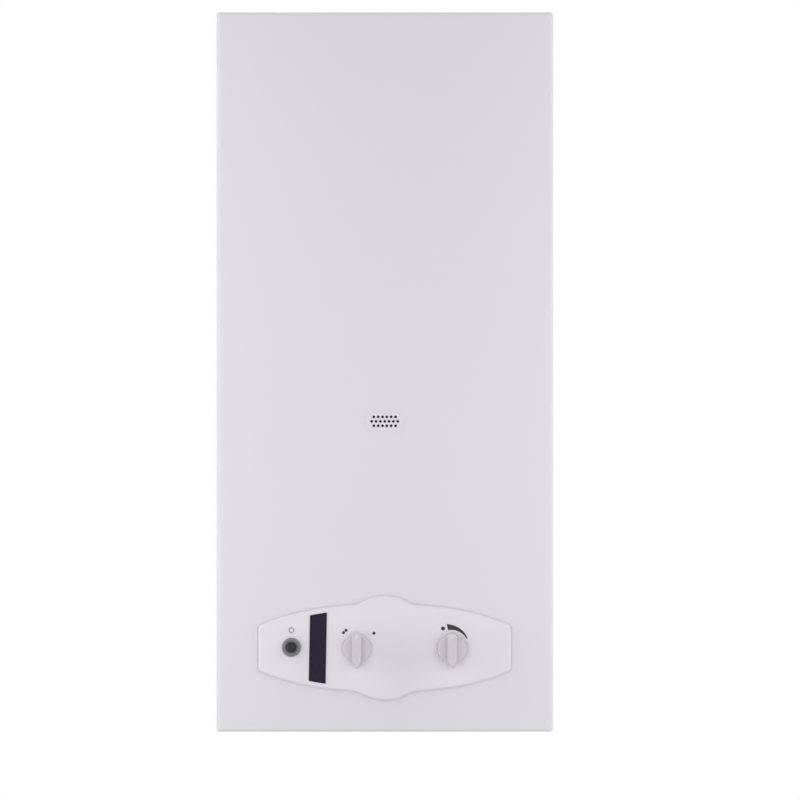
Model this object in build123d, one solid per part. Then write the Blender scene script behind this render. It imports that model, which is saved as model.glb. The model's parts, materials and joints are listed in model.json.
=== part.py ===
from build123d import *
import math
import os

os.makedirs("parts", exist_ok=True)

# Wall-hung gas water heater. Millimetres, +Z up, the viewer looks along +Y.
# The origin is on the wall, at the middle of the casing's width and height.

# Clearances: beside a neighbour, in a bearing, and in a close hole.
seat_gap = 0.3
turn_gap = 0.05
hole_gap = 0.3

# Casing, folded from sheet.
case_width = 310.0
case_height = 662.0
case_depth = 222.0
case_sheet = 1.0
side_bend = 4.0
end_bend = 2.5
wall_gap = 1.0
return_width = 14.0
vent_length = 50.0
vent_width = 5.0
vent_pitch = 14.0
vent_count = 6
vent_from_side = 41.0
case_screw_head = 3.2
case_screw_shank = 1.9
case_screw_length = 9.0
case_screw_from_wall = 14.0
case_screw_inset = 8.0
screw_slot_length = 5.2
screw_slot_width = 1.0
screw_slot_depth = 0.5

# Back plate, a shallow pan that the casing slips over.
plate_sheet = 1.2
plate_flange = 25.0
corner_tab = 12.5
slot_radius = 4.5
slot_length = 20.0
slot_from_top = 41.0
low_hole_radius = 3.5
low_hole_from_bottom = 25.0
wall_hole_spacing = 190.0
bracket_width = 120.0
bracket_sheet = 1.5
bracket_flange = 13.5
bracket_above_floor = 8.0
bracket_below_exchanger = 30.0

# Sight holes in the casing's front, in a shallow pressed oval.
sight_above_floor = 14.6
sight_hole = 1.3
sight_pitch = 4.0
sight_row_pitch = 4.1
sight_row_counts = (6, 7, 6)
sight_oval_width = 39.0
sight_oval_height = 20.0
sight_press = 0.5

# Control fascia, let into a pressed seat in the casing's front.
controls_from_bottom = 77.0
fascia_width = 232.0
fascia_end_height = 41.4
fascia_slope = 18.7
fascia_rise = 3.9
bulge_width = 41.4
bulge_shoulder = 9.3
bulge_shoulder_rise = 3.4
bulge_foot_sag = 0.55
bulge_rise = 5.1
fascia_corner = 4.8
fascia_proud = 2.6
fascia_bevel = 1.5
fascia_seat_depth = 0.6
fascia_seat_gap = 1.3
fascia_peg = 2.0
fascia_peg_length = 8.0
fascia_peg_inset = 12.0
peg_nut_radius = 4.4
panel_hole = 12.0
strip_width = 15.5
strip_x = -61.5
strip_lean = 1.1
strip_inset = 4.6
strip_thickness = 0.5

# Knobs. Heights are measured from the knob's base towards the viewer.
water_knob_x = -25.6
gas_knob_x = 61.8
knob_radius = 13.2
knob_tip_reach = 18.4
knob_tip_radius = 1.6
knob_draft_angle = 4.0
knob_body_height = 9.5
knob_edge = 1.2
knob_height = 18.4
knob_bore_depth = 9.0
grip_width = 8.5
grip_overhang = 2.0
grip_tip_inset = 1.5
grip_taper_from = 11.0
grip_tip = 1.5
grip_start = 3.0
grip_edge = 0.9
dot_radius = 1.75
dot_depth = 0.4
dot_proud = 0.1
dot_z = 12.0
knob_floor_gap = 0.4
gas_push = 3.5
spindle_radius = 4.0
stem_reach = 14.0
push_rod_radius = 2.0
push_rod_gap = 1.0

# Igniter with its push button.
piezo_x = -85.8
piezo_rise = 0.9
bezel_radius = 8.75
bezel_edge = 1.0
bezel_proud = 2.5
bezel_cup_radius = 5.3
bezel_cup_depth = 2.0
barrel_radius = 6.0
barrel_length = 28.0
button_radius = 3.95
button_edge = 0.8
button_proud = 3.0
button_length = 26.0
button_push = 4.0
piezo_body_radius = 9.0
piezo_body_length = 30.0
piezo_nut_flats = 19.0
piezo_nut_length = 5.0
terminal_radius = 3.0
terminal_length = 6.0

# Valve train: the diaphragm's axis runs along X through both valves.
servo_from_front = 110.0
valve_half_height = 30.0
valve_edge = 3.0
nut_edge = 1.0
water_body_width = 40.0
water_body_depth = 60.0
water_body_right = -14.0
housing_radius = 29.5
housing_length = 10.0
housing_rim = 9.5
housing_cavity_depth = 8.0
diaphragm_thickness = 2.0
cover_length = 14.0
cover_edge = 1.5
cover_spare = 3.7
cover_boss_radius = 8.0
cover_boss_length = 8.0
cover_screw_from_rim = 4.0
cover_screw_count = 6
cover_screw_radius = 2.0
cover_screw_head = 3.5
cover_screw_head_height = 3.0
cover_screw_grip = 7.0
servo_plate_gap = 3.0
servo_plate_thickness = 2.0
servo_rod_radius = 3.0
servo_lift = 3.0
waterway = 7.0
needle_way = 5.0
water_gland_flats = 17.0
water_gland_length = 14.0
drain_flats = 12.0
drain_length = 8.0
valve_space = 8.0
gas_body_from_side = 59.0
gas_body_reach = 66.0
gas_body_edge = 4.0
gas_wall = 8.0
gas_back_wall = 4.0
gas_seat_radius = 9.0
gas_seat_depth = 6.0
gas_disc_lap = 3.0
gas_disc_space = 4.0
gas_disc_thickness = 5.0
cap_length = 8.0
cap_flange = 4.0
cap_flange_lap = 4.0
cock_radius = 12.0
cock_front_wall = 6.0
cock_depth = 30.0
cock_disc_gap = 1.0
cock_disc_reach = 18.0
cock_disc_thickness = 5.0
cock_passage = 4.0
gas_gland_flats = 19.0
gas_gland_length = 12.0
gas_gland_neck = 8.0
magnet_radius = 10.0
magnet_length = 28.0
magnet_nut_flats = 9.0
magnet_nut_length = 6.0
magnet_edge = 1.5
magnet_from_front = 23.0

# Springs: wire radius and turns of each.
spring_wire = 0.6
push_spring_radius = 6.2
push_spring_turns = 7
push_spring_closed = 16.5
spring_collar_radius = 7.5
spring_collar_length = 1.5
button_spring_radius = 3.0
button_spring_turns = 8
button_spring_closed = 11.0
disc_spring_radius = 8.0
disc_spring_turns = 7

# Connections in the open bottom.
bracket_plate = 2.5
connection_left_reach = 25.0
connection_right_reach = 4.0
connection_front_reach = 28.0
connection_flange = 22.0
air_window_count = 3
air_window_rib = 17.0
air_window_margin = 2.5
air_window_corner = 2.5
air_window_from_wall = 24.5
air_window_from_pipes = 32.5
water_pipe_spacing = 71.0
water_thread_radius = 10.48
water_hex_flats = 27.0
gas_thread_radius = 13.22
gas_hex_flats = 32.0
neck_relief = 0.7
gas_bore = 9.0
hex_length = 8.5
thread_length = 24.0

# Pipework.
pipe_radius = 7.0
pipe_wall = 1.0
pipe_bend = 16.0
union_flats = 24.0
union_length = 14.0
riser_radius = 6.0
riser_bend = 12.0
riser_from_right = 21.0
riser_union_flats = 20.0
riser_union_length = 8.0
riser_run_rise = 21.0
cold_run_rise = 46.0
coil_start_rise = 74.0
hot_pipe_from_side = 21.0
hot_bend_rise = 84.0

# Burner, manifold and pilot.
bar_pitch = 16.0
bar_width = 9.0
bar_height = 40.0
bar_drop = 4.0
bar_slot = 0.8
bar_slot_depth = 4.0
bar_slot_count = 14
burner_frame_side_gap = 5.0
burner_frame_end_gap = 7.0
burner_frame_height = 62.0
burner_sheet = 1.5
venturi_hole = 5.0
manifold_size = 14.0
manifold_wall = 1.5
manifold_end_gap = 5.0
manifold_reach = 27.0
manifold_drop = 55.0
injector_flats = 7.0
injector_hex_length = 6.0
injector_shank = 2.4
injector_nozzle = 2.0
injector_length = 16.0
bracket_ear = 1.5
pilot_x = -16.0
pilot_reach = 8.0
pilot_tab_drop = 40.0
pilot_tab_reach = 14.0
pilot_sheet = 1.2
pilot_plate_height = 28.0
pilot_radius = 4.5
pilot_height = 26.0
pilot_bore = 2.2
pilot_cap = 3.0
pilot_mouth_width = 4.0
pilot_mouth_height = 6.0
probe_radius = 2.2
probe_height = 30.0
probe_below_tab = 10.0
ceramic_radius = 3.4
ceramic_height = 20.0
electrode_pin = 1.0
electrode_pin_height = 12.0
lead_radius = 1.75
lead_run = 18.0
lead_rise = 50.0
capillary_radius = 1.2
capillary_from_side = 13.0
capillary_drop = 98.0
pilot_tube_radius = 2.0
pilot_tube_from_left = 20.0
pilot_tube_from_front = 13.0
pilot_run_drop = 80.0
bend_share = 0.45

# Firebox, heat exchanger and draught hood.
firebox_side_space = 50.0
firebox_front_space = 37.0
firebox_back_space = 35.0
firebox_above_controls = 194.0
chamber_corner = 16.0
firebox_sheet = 1.0
window_width = 40.0
window_height = 14.0
mica_margin = 4.0
mica_thickness = 0.6
coil_gap = 0.5
coil_above_floor = 62.0
coil_pitch = 26.0
coil_turns = 2
coil_riser_from_side = 24.0
exchanger_height = 60.0
exchanger_tube = 6.5
exchanger_tube_wall = 0.8
exchanger_tube_pitch = 26.0
exchanger_tube_count = 5
exchanger_tube_reach = 6.0
fin_end_gap = 5.0
fin_pitch = 6.8
fin_thickness = 0.5
fin_height = 52.0
fin_hole_gap = 0.12
hood_skirt = 20.0
hood_height = 108.0
hood_top_margin = 2.8
spill_slot_from_side = 40.0
spill_slot_height = 12.0
baffle_depth = 70.0
baffle_rise = 42.0
flue_radius = 56.0
flue_stop = 3.0
flue_wall = 1.2
collar_height = 30.5
flue_flange = 5.0
flue_below_top = 2.5
flue_case_gap = 4.0
thermostat_radius = 8.0
thermostat_cap_radius = 6.0
thermostat_base = 4.0
thermostat_cap = 5.0
blade_width = 6.0
blade_thickness = 0.8
blade_length = 7.0
overheat_x = 60.0
spill_space = 5.0

# Places worked out from the sizes above. First the casing and its controls.
half_width = case_width / 2
half_height = case_height / 2
front_y = -case_depth
plate_half_width = half_width - case_sheet - seat_gap
plate_half_height = half_height - case_sheet - seat_gap
controls_z = controls_from_bottom - half_height
piezo_z = controls_z + piezo_rise
fascia_back_y = front_y + fascia_seat_depth
fascia_front_y = front_y - fascia_proud
panel_back_y = fascia_back_y + case_sheet
fascia_peg_x = fascia_width / 2 - fascia_peg_inset
bulge_shoulder_x = bulge_width / 2 + bulge_shoulder
bulge_shoulder_z = fascia_end_height / 2 + fascia_slope
bulge_foot_z = bulge_shoulder_z + bulge_shoulder_rise
bulge_top_z = bulge_foot_z + bulge_rise
grip_above = knob_radius + grip_overhang
grip_below = knob_tip_reach - grip_tip_inset
water_knob_base = fascia_front_y - knob_floor_gap
gas_knob_base = water_knob_base - gas_push
push_spring_length = push_spring_closed + gas_push
button_front_y = fascia_front_y - bezel_proud - button_proud
button_back_y = button_front_y + button_length
button_spring_end_y = button_back_y + button_spring_closed + button_push
piezo_body_y = panel_back_y + piezo_nut_length + seat_gap
piezo_terminal_y = piezo_body_y + piezo_body_length + terminal_length

# The valve train.
servo_y = front_y + servo_from_front
valve_bottom = controls_z - valve_half_height
valve_top = controls_z + valve_half_height
water_body_left = water_body_right - water_body_width
water_body_front = servo_y - water_body_depth / 2
water_body_back = servo_y + water_body_depth / 2
cold_x = (water_body_left + water_body_right) / 2
hot_x = cold_x - water_pipe_spacing
housing_cavity = housing_radius - housing_rim
servo_plate_radius = housing_cavity - servo_plate_gap
cover_screw_circle = housing_radius - cover_screw_from_rim
diaphragm_left = water_body_right + housing_length
diaphragm_right = diaphragm_left + diaphragm_thickness
servo_plate_left = diaphragm_right + seat_gap
cover_cavity_depth = seat_gap + servo_plate_thickness + servo_lift + cover_spare
cover_right = diaphragm_right + cover_length
cover_boss_right = cover_right + cover_boss_length
gas_body_left = cover_boss_right + valve_space
gas_body_right = half_width - gas_body_from_side
gas_body_front = servo_y - gas_body_reach
gas_disc_radius = gas_seat_radius + gas_disc_lap
gas_chamber_radius = gas_disc_radius + gas_disc_space
gas_body_back = servo_y + gas_chamber_radius + gas_back_wall
gas_seat_left = gas_body_left + gas_wall
gas_seat_right = gas_seat_left + gas_seat_depth
gas_disc_left = gas_seat_right + seat_gap
gas_chamber_right = gas_body_right - cap_length
gas_inlet_x = (gas_body_left + gas_body_right) / 2
cap_flange_radius = gas_chamber_radius + cap_flange_lap
cock_front = gas_body_front + cock_front_wall
cock_back = cock_front + cock_depth
cock_disc_radius = cock_radius - cock_disc_gap
magnet_y = gas_body_front + magnet_from_front
magnet_end = gas_body_right + magnet_length + magnet_nut_length

# The connections and the pipes.
connection_left = hot_x - connection_left_reach
connection_right = gas_body_right + connection_right_reach
connection_front = servo_y - connection_front_reach
connection_bottom = valve_bottom - bracket_plate
hex_bottom = connection_bottom - hex_length
thread_end = hex_bottom - thread_length
riser_x = gas_body_right - riser_from_right
riser_run_z = valve_top + riser_run_rise
cold_run_z = valve_top + cold_run_rise
coil_start_z = valve_top + coil_start_rise
hot_pipe_x = hot_pipe_from_side - half_width
hot_pipe_low_z = valve_bottom + hot_bend_rise
coil_riser_x = half_width - coil_riser_from_side
capillary_side_x = half_width - capillary_from_side

# The firebox, from the casing's top down to the burner.
flue_rim_z = half_height - flue_below_top
hood_top_z = flue_rim_z - collar_height
exchanger_top = hood_top_z - hood_height
chamber_top = exchanger_top - exchanger_height
chamber_bottom = controls_z + firebox_above_controls
sight_z = chamber_bottom + sight_above_floor
chamber_width = case_width - 2 * firebox_side_space
chamber_depth = case_depth - firebox_front_space - firebox_back_space
chamber_front = front_y + firebox_front_space
chamber_back = -firebox_back_space
firebox_y = (chamber_front + chamber_back) / 2
flue_outside = flue_radius + flue_wall
flue_stop_radius = flue_radius - flue_stop
hood_top = 2 * (flue_outside + flue_flange + hood_top_margin)
hood_skirt_top = exchanger_top + hood_skirt
spill_slot_half = chamber_width / 2 - spill_slot_from_side
spill_x = spill_slot_half + spill_space + thermostat_radius
tube_z = chamber_top + exchanger_height / 2
tube_end = chamber_width / 2 + exchanger_tube_reach
tube_first_y = firebox_y - exchanger_tube_pitch * (exchanger_tube_count - 1) / 2
tube_last_y = firebox_y + exchanger_tube_pitch * (exchanger_tube_count - 1) / 2
fin_span = chamber_width - 2 * (firebox_sheet + fin_end_gap)
fin_count = 1 + int(fin_span / fin_pitch)
coil_offset = pipe_radius + coil_gap
coil_bend = chamber_corner + coil_offset
coil_x = chamber_width / 2 + coil_offset
coil_front = chamber_front - coil_offset
coil_back = chamber_back + coil_offset
coil_first_z = chamber_bottom + coil_above_floor

# The burner, its manifold and the pilot.
burner_frame_width = chamber_width - 2 * burner_frame_side_gap
burner_frame_front = chamber_front + burner_frame_end_gap
burner_frame_back = chamber_back - burner_frame_end_gap
burner_frame_bottom = chamber_bottom - burner_frame_height
bar_top_z = chamber_bottom - bar_drop
bar_count = int((burner_frame_width - 2 * burner_sheet) / bar_pitch)
manifold_length = burner_frame_width - 2 * manifold_end_gap
manifold_y = burner_frame_front - manifold_reach
manifold_z = chamber_bottom - manifold_drop
pilot_y = burner_frame_front - pilot_reach
pilot_tab_z = chamber_bottom - pilot_tab_drop
pilot_run_z = chamber_bottom - pilot_run_drop
thermocouple_x = pilot_x - bar_pitch
electrode_x = thermocouple_x - bar_pitch
capillary_run_z = chamber_bottom - capillary_drop

axis_planes = {
    "X": Plane((0, 0, 0), (0, 1, 0), (1, 0, 0)),
    "Y": Plane((0, 0, 0), (1, 0, 0), (0, -1, 0)),
    "Z": Plane.XY,
}


# Shapes that everything is made of. A sketch for axis X is drawn in Y and Z,
# for axis Y in X and Z, and for axis Z in X and Y.
def on_axis(axis, start, end):
    low = min(-start, -end) if axis == "Y" else min(start, end)
    return axis_planes[axis].location * Pos(0, 0, low)


def prism(axis, sketch, start, end):
    return on_axis(axis, start, end) * extrude(sketch, abs(end - start))


def rod(axis, u, v, radius, start, end):
    return prism(axis, Pos(u, v) * Circle(radius), start, end)


def pipe_ring(axis, u, v, radius, bore, start, end):
    return prism(axis, Pos(u, v) * (Circle(radius) - Circle(bore)), start, end)


def hex_bar(axis, u, v, flats, start, end):
    return prism(axis, Pos(u, v) * RegularPolygon(flats / math.sqrt(3), 6), start, end)


def block(x0, x1, y0, y1, z0, z1):
    middle = Pos((x0 + x1) / 2, (y0 + y1) / 2, (z0 + z1) / 2)
    return middle * Box(abs(x1 - x0), abs(y1 - y0), abs(z1 - z0))


def bent_pipe(points, bends, radius, bore):
    path = FilletPolyline(*points, radius=bends)
    section = Plane(origin=path @ 0, z_dir=path % 0)
    outside = sweep(section * Circle(radius), path=path)
    if bore == 0:
        return outside
    return outside - sweep(section * Circle(bore), path=path)


def easy_bends(name, points):
    # Bends as large as the two runs beside each corner allow.
    radii = []
    for before, corner, after in zip(points, points[1:], points[2:]):
        run_in = Vector(corner) - Vector(before)
        run_out = Vector(after) - Vector(corner)
        half_turn = math.radians(run_in.get_angle(run_out)) / 2
        shorter = min(run_in.length, run_out.length)
        radii.append(bend_share * shorter / math.tan(half_turn))
    print(name, "bend radii", [round(radius, 1) for radius in radii])
    return radii


def lead(name, points, radius):
    bends = easy_bends(name, points)
    solid = bent_pipe(points, bends, radius, 0)
    path = FilletPolyline(*points, radius=bends)
    swept = math.pi * radius ** 2 * path.length
    print(name, "length", round(path.length, 1), "volume ratio", round(solid.volume / swept, 4))
    return solid


def spring(axis, u, v, radius, start, end, turns):
    length = abs(end - start) - 2 * spring_wire
    path = Helix(pitch=length / turns, height=length, radius=radius)
    section = Plane(origin=path @ 0, z_dir=path % 0) * Circle(spring_wire)
    coil = sweep(section, path=path, is_frenet=True)
    return on_axis(axis, start, end) * Pos(u, v, spring_wire) * coil


def save(name, *shapes):
    solids = [solid for shape in shapes for solid in shape.solids()]
    export_step(Compound(solids), f"parts/{name}.step")


# Casing and back plate.
def casing_block(inset, back):
    side = half_width - inset
    body = block(-side, side, front_y + inset, back, inset - half_height, half_height - inset)
    front_corners = body.edges().filter_by(Axis.Z).group_by(Axis.Y)[0]
    body = fillet(front_corners, side_bend - inset)
    front_ends = body.faces().sort_by(Axis.Y)[0].edges().filter_by(Axis.X)
    return fillet(front_ends, end_bend - inset)


def pressed_seat(sheet_body, outline, depth):
    # The sheet is pushed inwards over the outline and keeps its thickness.
    inner_face = front_y + case_sheet
    pad = prism("Y", offset(outline, case_sheet), inner_face, inner_face + depth)
    hollow = prism("Y", outline, front_y, front_y + depth)
    return sheet_body + pad - hollow


def fascia_outline():
    half = fascia_width / 2
    end = (half, fascia_end_height / 2)
    shoulder = (bulge_shoulder_x, bulge_shoulder_z)
    foot = (bulge_width / 2, bulge_foot_z)
    upper_middle = bowed_middle(end, shoulder, fascia_rise)
    foot_middle = bowed_middle(shoulder, foot, -bulge_foot_sag)
    edges = []
    for up in (1, -1):
        cap_start = (-foot[0], up * foot[1])
        cap_end = (foot[0], up * foot[1])
        edges.append(ThreePointArc(cap_start, (0, up * bulge_top_z), cap_end))
        for side in (1, -1):
            corners = [(side * x, up * z) for x, z in (end, upper_middle, shoulder, foot_middle, foot)]
            edges.append(ThreePointArc(*corners[:3]))
            edges.append(ThreePointArc(*corners[2:]))
    for side in (1, -1):
        edges.append(Line((side * half, -end[1]), (side * half, end[1])))
    face = make_face(edges)
    corners = face.vertices().filter_by(lambda vertex: abs(vertex.X) > half - seat_gap)
    return Pos(0, controls_z) * fillet(corners, fascia_corner)


def bowed_middle(start, end, rise):
    # The middle of an arc that bows upwards from its chord by the rise.
    run_x = end[0] - start[0]
    run_z = end[1] - start[1]
    length = math.hypot(run_x, run_z)
    middle_x = (start[0] + end[0]) / 2 + rise * run_z / length
    middle_z = (start[1] + end[1]) / 2 - rise * run_x / length
    return (middle_x, middle_z)


def peg_places():
    return [(side * fascia_peg_x, controls_z) for side in (1, -1)]


def make_front_case():
    body = casing_block(0, -wall_gap) - casing_block(case_sheet, case_sheet)
    mouth = half_width - return_width
    body -= block(-mouth, mouth, front_y + return_width, 0, -half_height, case_sheet * 2 - half_height)
    body = pressed_seat(body, offset(fascia_outline(), fascia_seat_gap), fascia_seat_depth)
    oval = Pos(0, sight_z) * SlotOverall(sight_oval_width, sight_oval_height)
    body = pressed_seat(body, oval, sight_press)
    for row, count in enumerate(sight_row_counts):
        z = sight_z + (1 - row) * sight_row_pitch
        for column in range(count):
            x = (column - (count - 1) / 2) * sight_pitch
            body -= rod("Y", x, z, sight_hole, front_y, panel_back_y)
    for x in (water_knob_x, gas_knob_x):
        body -= rod("Y", x, controls_z, panel_hole, front_y, panel_back_y)
    body -= rod("Y", piezo_x, piezo_z, barrel_radius + hole_gap, front_y, panel_back_y)
    for x, z in peg_places():
        body -= rod("Y", x, z, fascia_peg + hole_gap, front_y, panel_back_y)
    body -= rod("Z", 0, firebox_y, flue_radius + flue_case_gap, half_height - 2 * case_sheet, half_height)
    for side in (1, -1):
        for number in range(vent_count):
            y = firebox_y + (number - (vent_count - 1) / 2) * vent_pitch
            vent = Pos(side * (half_width - vent_from_side), y) * SlotOverall(vent_length, vent_width)
            body -= prism("Z", vent, half_height - 2 * case_sheet, half_height)
        x = side * (half_width - case_screw_inset)
        hole = case_screw_head + hole_gap
        body -= rod("Z", x, -case_screw_from_wall, hole, -half_height, case_sheet - half_height)
    return body


def make_back_plate():
    w = plate_half_width
    h = plate_half_height
    t = plate_sheet
    body = block(-w, w, -plate_flange, 0, -h, h)
    body = fillet(body.edges().filter_by(Axis.Y), end_bend)
    body -= block(t - w, w - t, -plate_flange, -t, t - h, h - t)
    inner = w - t - corner_tab
    body -= block(-inner, inner, -plate_flange, -t, -h, t - h)
    for side in (1, -1):
        x = side * wall_hole_spacing / 2
        slot = Pos(x, half_height - slot_from_top) * SlotOverall(slot_length, 2 * slot_radius)
        body -= prism("Y", slot, -t, 0)
        body -= rod("Y", x, low_hole_from_bottom - half_height, low_hole_radius, -t, 0)
        screw_x = side * (half_width - case_screw_inset)
        body -= rod("Z", screw_x, -case_screw_from_wall, case_screw_shank + turn_gap, -h, t - h)
    for z in (chamber_bottom + bracket_above_floor, chamber_top - bracket_below_exchanger):
        arm = block(-bracket_width / 2, bracket_width / 2, chamber_back, -t, z, z + bracket_sheet)
        upright = block(-bracket_width / 2, bracket_width / 2, -t - bracket_sheet, -t, z, z + bracket_flange)
        body += arm + upright
    return body


def make_case_screws():
    screws = []
    for side in (1, -1):
        x = side * (half_width - case_screw_inset)
        y = -case_screw_from_wall
        head = rod("Z", x, y, case_screw_head, -half_height, case_sheet - half_height)
        slot = Pos(x, y) * Rectangle(screw_slot_length, screw_slot_width)
        head -= prism("Z", slot, -half_height, screw_slot_depth - half_height)
        shank = rod("Z", x, y, case_screw_shank, case_sheet - half_height, case_screw_length - half_height)
        screws.append(head + shank)
    return screws


# Control fascia and what is fitted in it.
def make_fascia():
    plate = prism("Y", fascia_outline(), fascia_back_y, fascia_front_y)
    plate = chamfer(plate.faces().sort_by(Axis.Y)[0].edges(), fascia_bevel)
    for x in (water_knob_x, gas_knob_x):
        plate -= rod("Y", x, controls_z, spindle_radius + hole_gap, fascia_back_y, fascia_front_y)
    plate -= rod("Y", piezo_x, piezo_z, barrel_radius + hole_gap, fascia_back_y, fascia_front_y)
    for x, z in peg_places():
        plate += rod("Y", x, z, fascia_peg, fascia_back_y, fascia_back_y + fascia_peg_length)
    return plate


def make_fascia_strip():
    band = Pos(strip_x, controls_z) * (Rot(0, 0, -strip_lean) * Rectangle(strip_width, 2 * bulge_top_z))
    shape = offset(fascia_outline(), -strip_inset) & band
    return prism("Y", shape, fascia_front_y, fascia_front_y - strip_thickness)


def make_peg_nuts():
    nuts = []
    end = panel_back_y + case_sheet
    for x, z in peg_places():
        nuts.append(pipe_ring("Y", x, z, peg_nut_radius, fascia_peg + turn_gap, panel_back_y, end))
    return nuts


def grip_sketch():
    half = grip_width / 2
    shoulder = grip_above - half
    tip_z = grip_tip - grip_below
    outline = [
        ThreePointArc((-half, shoulder), (0, grip_above), (half, shoulder)),
        Line((half, shoulder), (half, -grip_taper_from)),
        Line((half, -grip_taper_from), (grip_tip, tip_z)),
        ThreePointArc((grip_tip, tip_z), (0, -grip_below), (-grip_tip, tip_z)),
        Line((-grip_tip, tip_z), (-half, -grip_taper_from)),
        Line((-half, -grip_taper_from), (-half, shoulder)),
    ]
    return make_face(outline)


def teardrop():
    # A round body drawn out downwards to a blunt tip, along the two common tangents.
    tip_drop = knob_tip_reach - knob_tip_radius
    across = math.acos((knob_radius - knob_tip_radius) / tip_drop)
    side = math.sin(across)
    drop = math.cos(across)
    body_x = knob_radius * side
    body_z = -knob_radius * drop
    tip_x = knob_tip_radius * side
    tip_z = -tip_drop - knob_tip_radius * drop
    outline = [
        ThreePointArc((body_x, body_z), (0, knob_radius), (-body_x, body_z)),
        Line((-body_x, body_z), (-tip_x, tip_z)),
        ThreePointArc((-tip_x, tip_z), (0, -knob_tip_reach), (tip_x, tip_z)),
        Line((tip_x, tip_z), (body_x, body_z)),
    ]
    return make_face(outline)


def make_knob(x, base):
    body = extrude(teardrop(), knob_body_height, taper=knob_draft_angle)
    body = fillet(body.faces().sort_by(Axis.Z)[-1].edges(), knob_edge)
    grip = Pos(0, 0, grip_start) * extrude(grip_sketch(), knob_height - grip_start)
    grip = fillet(grip.faces().sort_by(Axis.Z)[-1].edges(), grip_edge)
    body = body + grip
    body -= Pos(0, 0, knob_bore_depth / 2) * Cylinder(spindle_radius + turn_gap, knob_bore_depth)
    recess = Pos(0, dot_z, knob_height - dot_depth / 2) * Cylinder(dot_radius + turn_gap, dot_depth)
    body -= recess
    return Plane((x, base, controls_z), (1, 0, 0), (0, -1, 0)).location * body


def make_dot(x, base):
    back = base - knob_height + dot_depth
    return rod("Y", x, controls_z + dot_z, dot_radius, back, base - knob_height - dot_proud)


def make_water_spindle():
    front = water_knob_base - knob_bore_depth + seat_gap
    stem_end = water_body_front + stem_reach
    stem = rod("Y", water_knob_x, controls_z, spindle_radius, front, stem_end)
    return stem + rod("Y", water_knob_x, controls_z, spindle_radius / 2, stem_end, servo_y - waterway)


def make_gas_spindle():
    front = gas_knob_base - knob_bore_depth + seat_gap
    back = cock_front + cock_disc_reach
    stem = rod("Y", gas_knob_x, controls_z, spindle_radius, front, back)
    collar_front = gas_body_front - gas_gland_length - push_spring_length - spring_collar_length
    collar_back = collar_front + spring_collar_length
    stem += rod("Y", gas_knob_x, controls_z, spring_collar_radius, collar_front, collar_back)
    stem += rod("Y", gas_knob_x, controls_z, cock_disc_radius, back - cock_disc_thickness, back)
    return stem - rod("Y", gas_knob_x, controls_z, push_rod_radius + turn_gap, front, back)


def make_gas_push_rod():
    front = gas_knob_base - knob_bore_depth + seat_gap
    back = cock_back - gas_push - push_rod_gap
    return rod("Y", gas_knob_x, controls_z, push_rod_radius, front, back)


def make_push_spring():
    back = gas_body_front - gas_gland_length
    return spring("Y", gas_knob_x, controls_z, push_spring_radius, back - push_spring_length, back,
                  push_spring_turns)


def make_piezo_bezel():
    front = fascia_front_y - bezel_proud
    back = fascia_front_y + barrel_length
    body = rod("Y", piezo_x, piezo_z, bezel_radius, front, fascia_front_y)
    rim = body.faces().sort_by(Axis.Y)[0].edges()
    body = fillet(rim, bezel_edge)
    body += rod("Y", piezo_x, piezo_z, barrel_radius, fascia_front_y, back)
    body -= rod("Y", piezo_x, piezo_z, button_radius + turn_gap, front, back)
    body -= rod("Y", piezo_x, piezo_z, bezel_cup_radius, front, front + bezel_cup_depth)
    return body


def make_piezo_button():
    body = rod("Y", piezo_x, piezo_z, button_radius, button_front_y, button_back_y)
    return fillet(body.faces().sort_by(Axis.Y)[0].edges(), button_edge)


def make_button_spring():
    return spring("Y", piezo_x, piezo_z, button_spring_radius, button_back_y, button_spring_end_y,
                  button_spring_turns)


def make_piezo_body():
    start = piezo_body_y
    end = start + piezo_body_length
    body = rod("Y", piezo_x, piezo_z, piezo_body_radius, start, end)
    body -= rod("Y", piezo_x, piezo_z, barrel_radius + turn_gap, start, fascia_front_y + barrel_length)
    body -= rod("Y", piezo_x, piezo_z, button_radius + turn_gap, start, button_spring_end_y)
    return body + rod("Y", piezo_x, piezo_z, terminal_radius, end, piezo_terminal_y)


def make_piezo_nut():
    end = panel_back_y + piezo_nut_length
    nut = hex_bar("Y", piezo_x, piezo_z, piezo_nut_flats, panel_back_y, end)
    return nut - rod("Y", piezo_x, piezo_z, barrel_radius + turn_gap, panel_back_y, end)


# Water valve.
def cover_screw_places():
    places = []
    for number in range(cover_screw_count):
        angle = (number + 0.5) * math.tau / cover_screw_count
        y = servo_y + cover_screw_circle * math.cos(angle)
        z = controls_z + cover_screw_circle * math.sin(angle)
        places.append((y, z))
    return places


def make_water_body():
    body = block(water_body_left, water_body_right, water_body_front, water_body_back,
                 valve_bottom, valve_top)
    body = chamfer(body.edges().filter_by(Axis.X), valve_edge)
    body += rod("X", servo_y, controls_z, housing_radius, water_body_right, diaphragm_left)
    cavity_left = diaphragm_left - housing_cavity_depth
    body -= rod("X", servo_y, controls_z, housing_cavity, cavity_left, diaphragm_left)
    body -= rod("Z", cold_x, servo_y, waterway, valve_bottom, controls_z)
    body -= rod("Z", cold_x, servo_y, pipe_radius - pipe_wall, controls_z + needle_way, valve_top)
    body -= rod("Y", water_knob_x, controls_z, needle_way, water_body_front, servo_y)
    for y, z in cover_screw_places():
        end = diaphragm_left - cover_screw_grip - seat_gap
        body -= rod("X", y, z, cover_screw_radius + turn_gap, end, diaphragm_left)
    return body


def make_diaphragm():
    disc = rod("X", servo_y, controls_z, housing_radius, diaphragm_left, diaphragm_right)
    for y, z in cover_screw_places():
        disc -= rod("X", y, z, cover_screw_radius + turn_gap, diaphragm_left, diaphragm_right)
    return disc


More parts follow.
